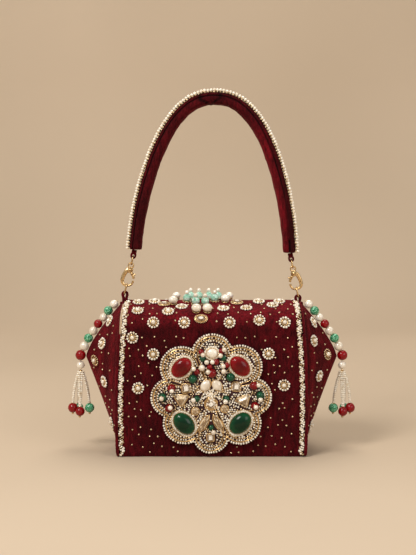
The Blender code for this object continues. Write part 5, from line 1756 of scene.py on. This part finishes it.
def strap_pearls():
    """Rows of pearls across the strap's outer face, with gold seeds under their edges."""
    white, gold = [], []
    chance = random.Random(27)
    places = strap_line(2 * PEARL_ROWS)
    for k, (point, outward, along) in enumerate(places[1::2]):
        lift = STRAP_THICKNESS / 2 + GAP + 1.2 * MM
        slip = 0.5 * MM * math.sin(k * 0.9) + chance.uniform(-0.25, 0.25) * MM
        for j in range(6):
            y = (-8.4 + 3.3 * j) * MM + slip * (0.5 if j in (0, 5) else 1)
            size = chance.uniform(1.68, 1.88) * MM
            rise = lift + chance.uniform(-0.2, 0.25) * MM
            white.append((HANDLE_PLACE @ (point + outward * rise + DEPTH * y), size, outward))
        for y in (-9.9 * MM, 9.9 * MM):
            spot = point + outward * (STRAP_THICKNESS / 2 - 0.3 * MM) + DEPTH * (y + slip * 0.4)
            gold.append((HANDLE_PLACE @ spot, (0.8 if k % 3 else 1.05) * MM, along))
            if k % 4 == 1:
                spot += outward * 1.3 * MM + along * 1.4 * MM
                gold.append((HANDLE_PLACE @ spot, 0.8 * MM, along))
    join(sew("strap_pearl_rows", white, SEED_WHITE, 0.1, 19, 8, 6), "handle", "pearl", "strap_pearls")
    join(sew("strap_gold_seeds", gold, SEED_GOLD, 0.12, 20, 8, 5), "handle", "beadwork")


def oval_ring(bm, bottom, length):
    points = []
    for centre, start in ((bottom + length - RING_HALF_WIDTH, 0), (bottom + RING_HALF_WIDTH, 180)):
        for k in range(13):
            angle = math.radians(start + 15 * k)
            points.append((0, RING_HALF_WIDTH * math.cos(angle), centre + RING_HALF_WIDTH * math.sin(angle)))
    tube(bm, points, RING_WIRE, RIGHT, closed=True)


def chain_piece(name, bm, side, material, body, slot, node):
    made = add(name, bm, material)
    made.data.transform(chain_place(side))
    join(made, body, slot, node)


def eased(points, count=4):
    """More points on a smooth line through the given ones."""
    full = [points[0], *points, points[-1]]
    line = []
    for a, b, c, d in zip(full, full[1:], full[2:], full[3:]):
        for k in range(count):
            t = k / count
            line.append(0.5 * (
                2 * b + (c - a) * t + (2 * a - 5 * b + 4 * c - d) * t**2 + (3 * b - a - 3 * c + d) * t**3
            ))
    return line + [points[-1]]


def clasp(name):
    side = SIDES[name]
    inward = -side
    bottom = CLAW_BOTTOM + CLAW_HALF_WIDTH
    claw = arc_points((0, bottom), CLAW_HALF_WIDTH, CLAW_TIP_ANGLE, -180, 14)
    claw += [Vector((x, 0, PLATE_HEIGHT + height)) for x, height in CLAW_NECK]
    path = eased([Vector((inward * point.x, 0, point.z)) for point in claw])
    bm = bmesh.new()
    tube(bm, path, lambda share, _: (
        CLAW_WIRE * 1.15, CLAW_WIRE * (1 + 1.1 * max(0, share - 0.4) / 0.6)
    ), sides=14)
    turn = Matrix.Rotation(math.pi / 2, 4, "X")
    for share, depth in ((1, 0.9), (0.62, 1.1)):
        radius = PLATE_RADIUS * share
        bmesh.ops.create_cone(
            bm, cap_ends=True, segments=24, radius1=radius, radius2=radius, depth=PLATE_THICKNESS * depth,
            matrix=Matrix.Translation((0, 0, PLATE_HEIGHT)) @ turn,
        )
    shoulder = [(0, 0, PLATE_HEIGHT + rise) for rise in steps(-3.4 * MM, 3.2 * MM, 12)]
    tube(bm, shoulder, lambda share, _: (
        1.35 * MM, 3.3 * MM * math.sin(math.pi * (0.08 + 0.8 * share)) ** 0.8
    ), sides=20)
    eye = arc_points((0, EYE_HEIGHT), EYE_RADIUS, 0, 345, 23)
    tube(bm, eye, EYE_WIRE * 0.85, closed=True)
    chain_piece(f"clasp_body_{name}", bm, side, GOLD, "handle", "gold", f"clasp_{name}")
    across, up = LEVER_REACH * math.cos(LEVER_ANGLE), LEVER_REACH * math.sin(LEVER_ANGLE)
    pin = Vector((inward * across, 0, PLATE_HEIGHT + up))
    tip = bottom + CLAW_HALF_WIDTH * math.sin(math.radians(CLAW_TIP_ANGLE))
    end = Vector((inward * CLAW_HALF_WIDTH, 0, tip + CLAW_WIRE + 1 * MM))
    middle = pin.lerp(end, 0.5) + Vector((inward * 0.5 * MM, 0, 0))
    bm = bmesh.new()
    tube(bm, eased([pin, middle, end], 6), lambda share, _: (1.2 * MM, (1.75 - 0.6 * share) * MM))
    bmesh.ops.create_cone(
        bm, cap_ends=True, segments=18, radius1=1.5 * MM, radius2=1.5 * MM, depth=PLATE_THICKNESS,
        matrix=Matrix.Translation(pin) @ turn,
    )
    foot = pin.lerp(end, 0.3)
    spur = foot + Vector((inward * 3.2, 0, 1.2)) * MM
    spur_line = [foot, foot.lerp(spur, 0.6) + UP * 0.2 * MM, spur]
    tube(bm, spur_line, lambda share, _: ((0.75 + 0.3 * share) * MM, 0.7 * MM))
    chain_piece(f"clasp_gate_{name}", bm, side, GOLD, f"lever_{name}", "gold", f"clasp_lever_{name}")


def chain(name):
    side = SIDES[name]
    for label, (bottom, length) in (("lower_ring", LOWER_RING), ("upper_ring", UPPER_RING)):
        bm = bmesh.new()
        oval_ring(bm, bottom, length)
        chain_piece(f"{label}_wire_{name}", bm, side, GOLD, "handle", "gold", f"{label}_{name}")
    clasp(name)
    bend = arc_points((0, TAB_BOTTOM + TAB_BEND), TAB_BEND, 180, 360, 12)
    legs = [Vector((-TAB_BEND + 0.9 * MM * min(1, 5 - k), 0, TAB_TOP - k * MM)) for k in range(6)]
    path = legs + bend + [Vector((-p.x, 0, p.z)) for p in reversed(legs)]

    def folded(share, _):
        leg = abs(2 * share - 1)
        fill = min(1, max(0, leg - 0.56) / 0.1)
        return (1.9 + 0.4 * leg) * MM * (1 + 0.06 * math.sin(47 * share)), (1.05 + 0.4 * fill) * MM

    bm = bmesh.new()
    tube(bm, path, folded, sides=16)
    chain_piece(f"tab_{name}", bm, side, ROLLED_VELVET, "handle", "piping", f"strap_tab_{name}")
    x = side * PIVOT_X * math.cos(HANDLE_LEAN)
    top = PIVOT_HEIGHT - side * PIVOT_X * math.sin(HANDLE_LEAN)
    foot = EAR_TOP - 0.6 * MM
    reach = LOOP_BEND - 0.7 * MM
    bend = arc_points((x, top - reach), reach, 205, -25, 14)
    narrow = 1.5 * MM
    low = top - 6.4 * MM
    legs = [Vector((x - narrow, 0, z)) for z in steps(foot, low, 3)]
    path = [*legs, *bend, *[Vector((2 * x - p.x, 0, p.z)) for p in reversed(legs)]]

    def pinched(share, _):
        leg = max(0, abs(2 * share - 1) - 0.5) / 0.5
        return (1.45 + 1.1 * leg) * MM, (1.4 + 0.3 * leg) * MM

    bm = bmesh.new()
    tube(bm, eased(path, 3), pinched, sides=14)
    join(add(f"strap_loop_{name}", bm, ROLLED_VELVET), "root", "piping", f"loop_{name}")


# Studio


def studio():
    bm = bmesh.new()
    rows = []
    start, end, radius = -1.6, 0.9, 0.5
    profile = [(start, 0), (end, 0)]
    for angle in (math.radians(10 * k) for k in range(1, 10)):
        profile.append((end + radius * math.sin(angle), radius - radius * math.cos(angle)))
    profile.append((end + radius, 2.6))
    for y, z in profile:
        rows.append([Vector((x, y, z)) for x in (-2.5, 2.5)])
    grid(bm, rows)
    paper = bpy.data.materials.new("pale paper")
    paper.use_nodes = True
    tree = paper.node_tree
    drift = spread(tree, noise_value(tree, 1.4, 1), 0.35, 0.65)
    for label, value in {
        "Roughness": 0.95, "Specular IOR Level": 0.1,
        "Base Color": blend_colours(tree, drift, (0.5, 0.4, 0.295, 1), (0.57, 0.46, 0.345, 1)),
    }.items():
        feed(tree, tree.nodes["Principled BSDF"].inputs[label], value)
    add("floor", bm, paper, outward=False)
    world = bpy.data.worlds.new("studio")
    world.use_nodes = True
    sky = world.node_tree.nodes["Background"].inputs
    sky["Color"].default_value = (1.0, 0.95, 0.88, 1)
    sky["Strength"].default_value = 0.45
    bpy.context.scene.world = world
    for name, place, size, power, colour in (
        ("key", (-0.9, -1.1, 1.5), 0.7, 26, (1.0, 0.96, 0.9)),
        ("fill", (1.2, -1.2, 0.8), 1.0, 8, (1.0, 0.97, 0.94)),
        ("top", (0.1, 0.5, 1.6), 0.9, 12, (1.0, 0.95, 0.88)),
    ):
        lamp = bpy.data.lights.new(name, "AREA")
        lamp.size = size
        lamp.energy = power
        lamp.color = colour
        made = link(name, lamp)
        made.location = place
        aim = Vector((0, 0, 0.15)) - Vector(place)
        made.rotation_euler = aim.to_track_quat("-Z", "Y").to_euler()
    camera = bpy.data.cameras.new("camera")
    camera.sensor_fit = "VERTICAL"
    camera.sensor_height = 24
    camera.lens = 49.8
    camera.clip_end = 20
    view = link("camera", camera)
    view.location = (-3.6 * MM, -1192 * MM, 285 * MM)
    view.rotation_euler = (math.radians(90 - 5.059), 0, 0)
    bpy.context.scene.camera = view
    bpy.context.scene.view_settings.view_transform = "Standard"


def carried_over():
    """The hidden stiffener and the magnets keep their own solids, with a finish."""
    for node, material in (("base_board", BOARD), ("front_magnet", STEEL), ("rear_magnet", STEEL)):
        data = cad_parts[node].data
        data.materials.clear()
        data.materials.append(material)


studio()
for face in FACES:
    velvet_panel(face)
    sew_panel(face)
    comb(face)
    for name in SIDES:
        edge_rows(face, name)
for name in SIDES:
    velvet_end(name)
    ear(name)
    rolled_piping(name)
    sew_end(name)
    bead_string(name)
    tassel(name)
    chain(name)
lining()
tan_binding()
medallion()
framed_oval("top_oval", *TOP_CRYSTAL, node="top_crystal")
for k, values in enumerate(FRAMED_OVALS, 1):
    framed_oval(f"side_oval_{k}", *values)
padded_strap()
strap_pearls()
carried_over()
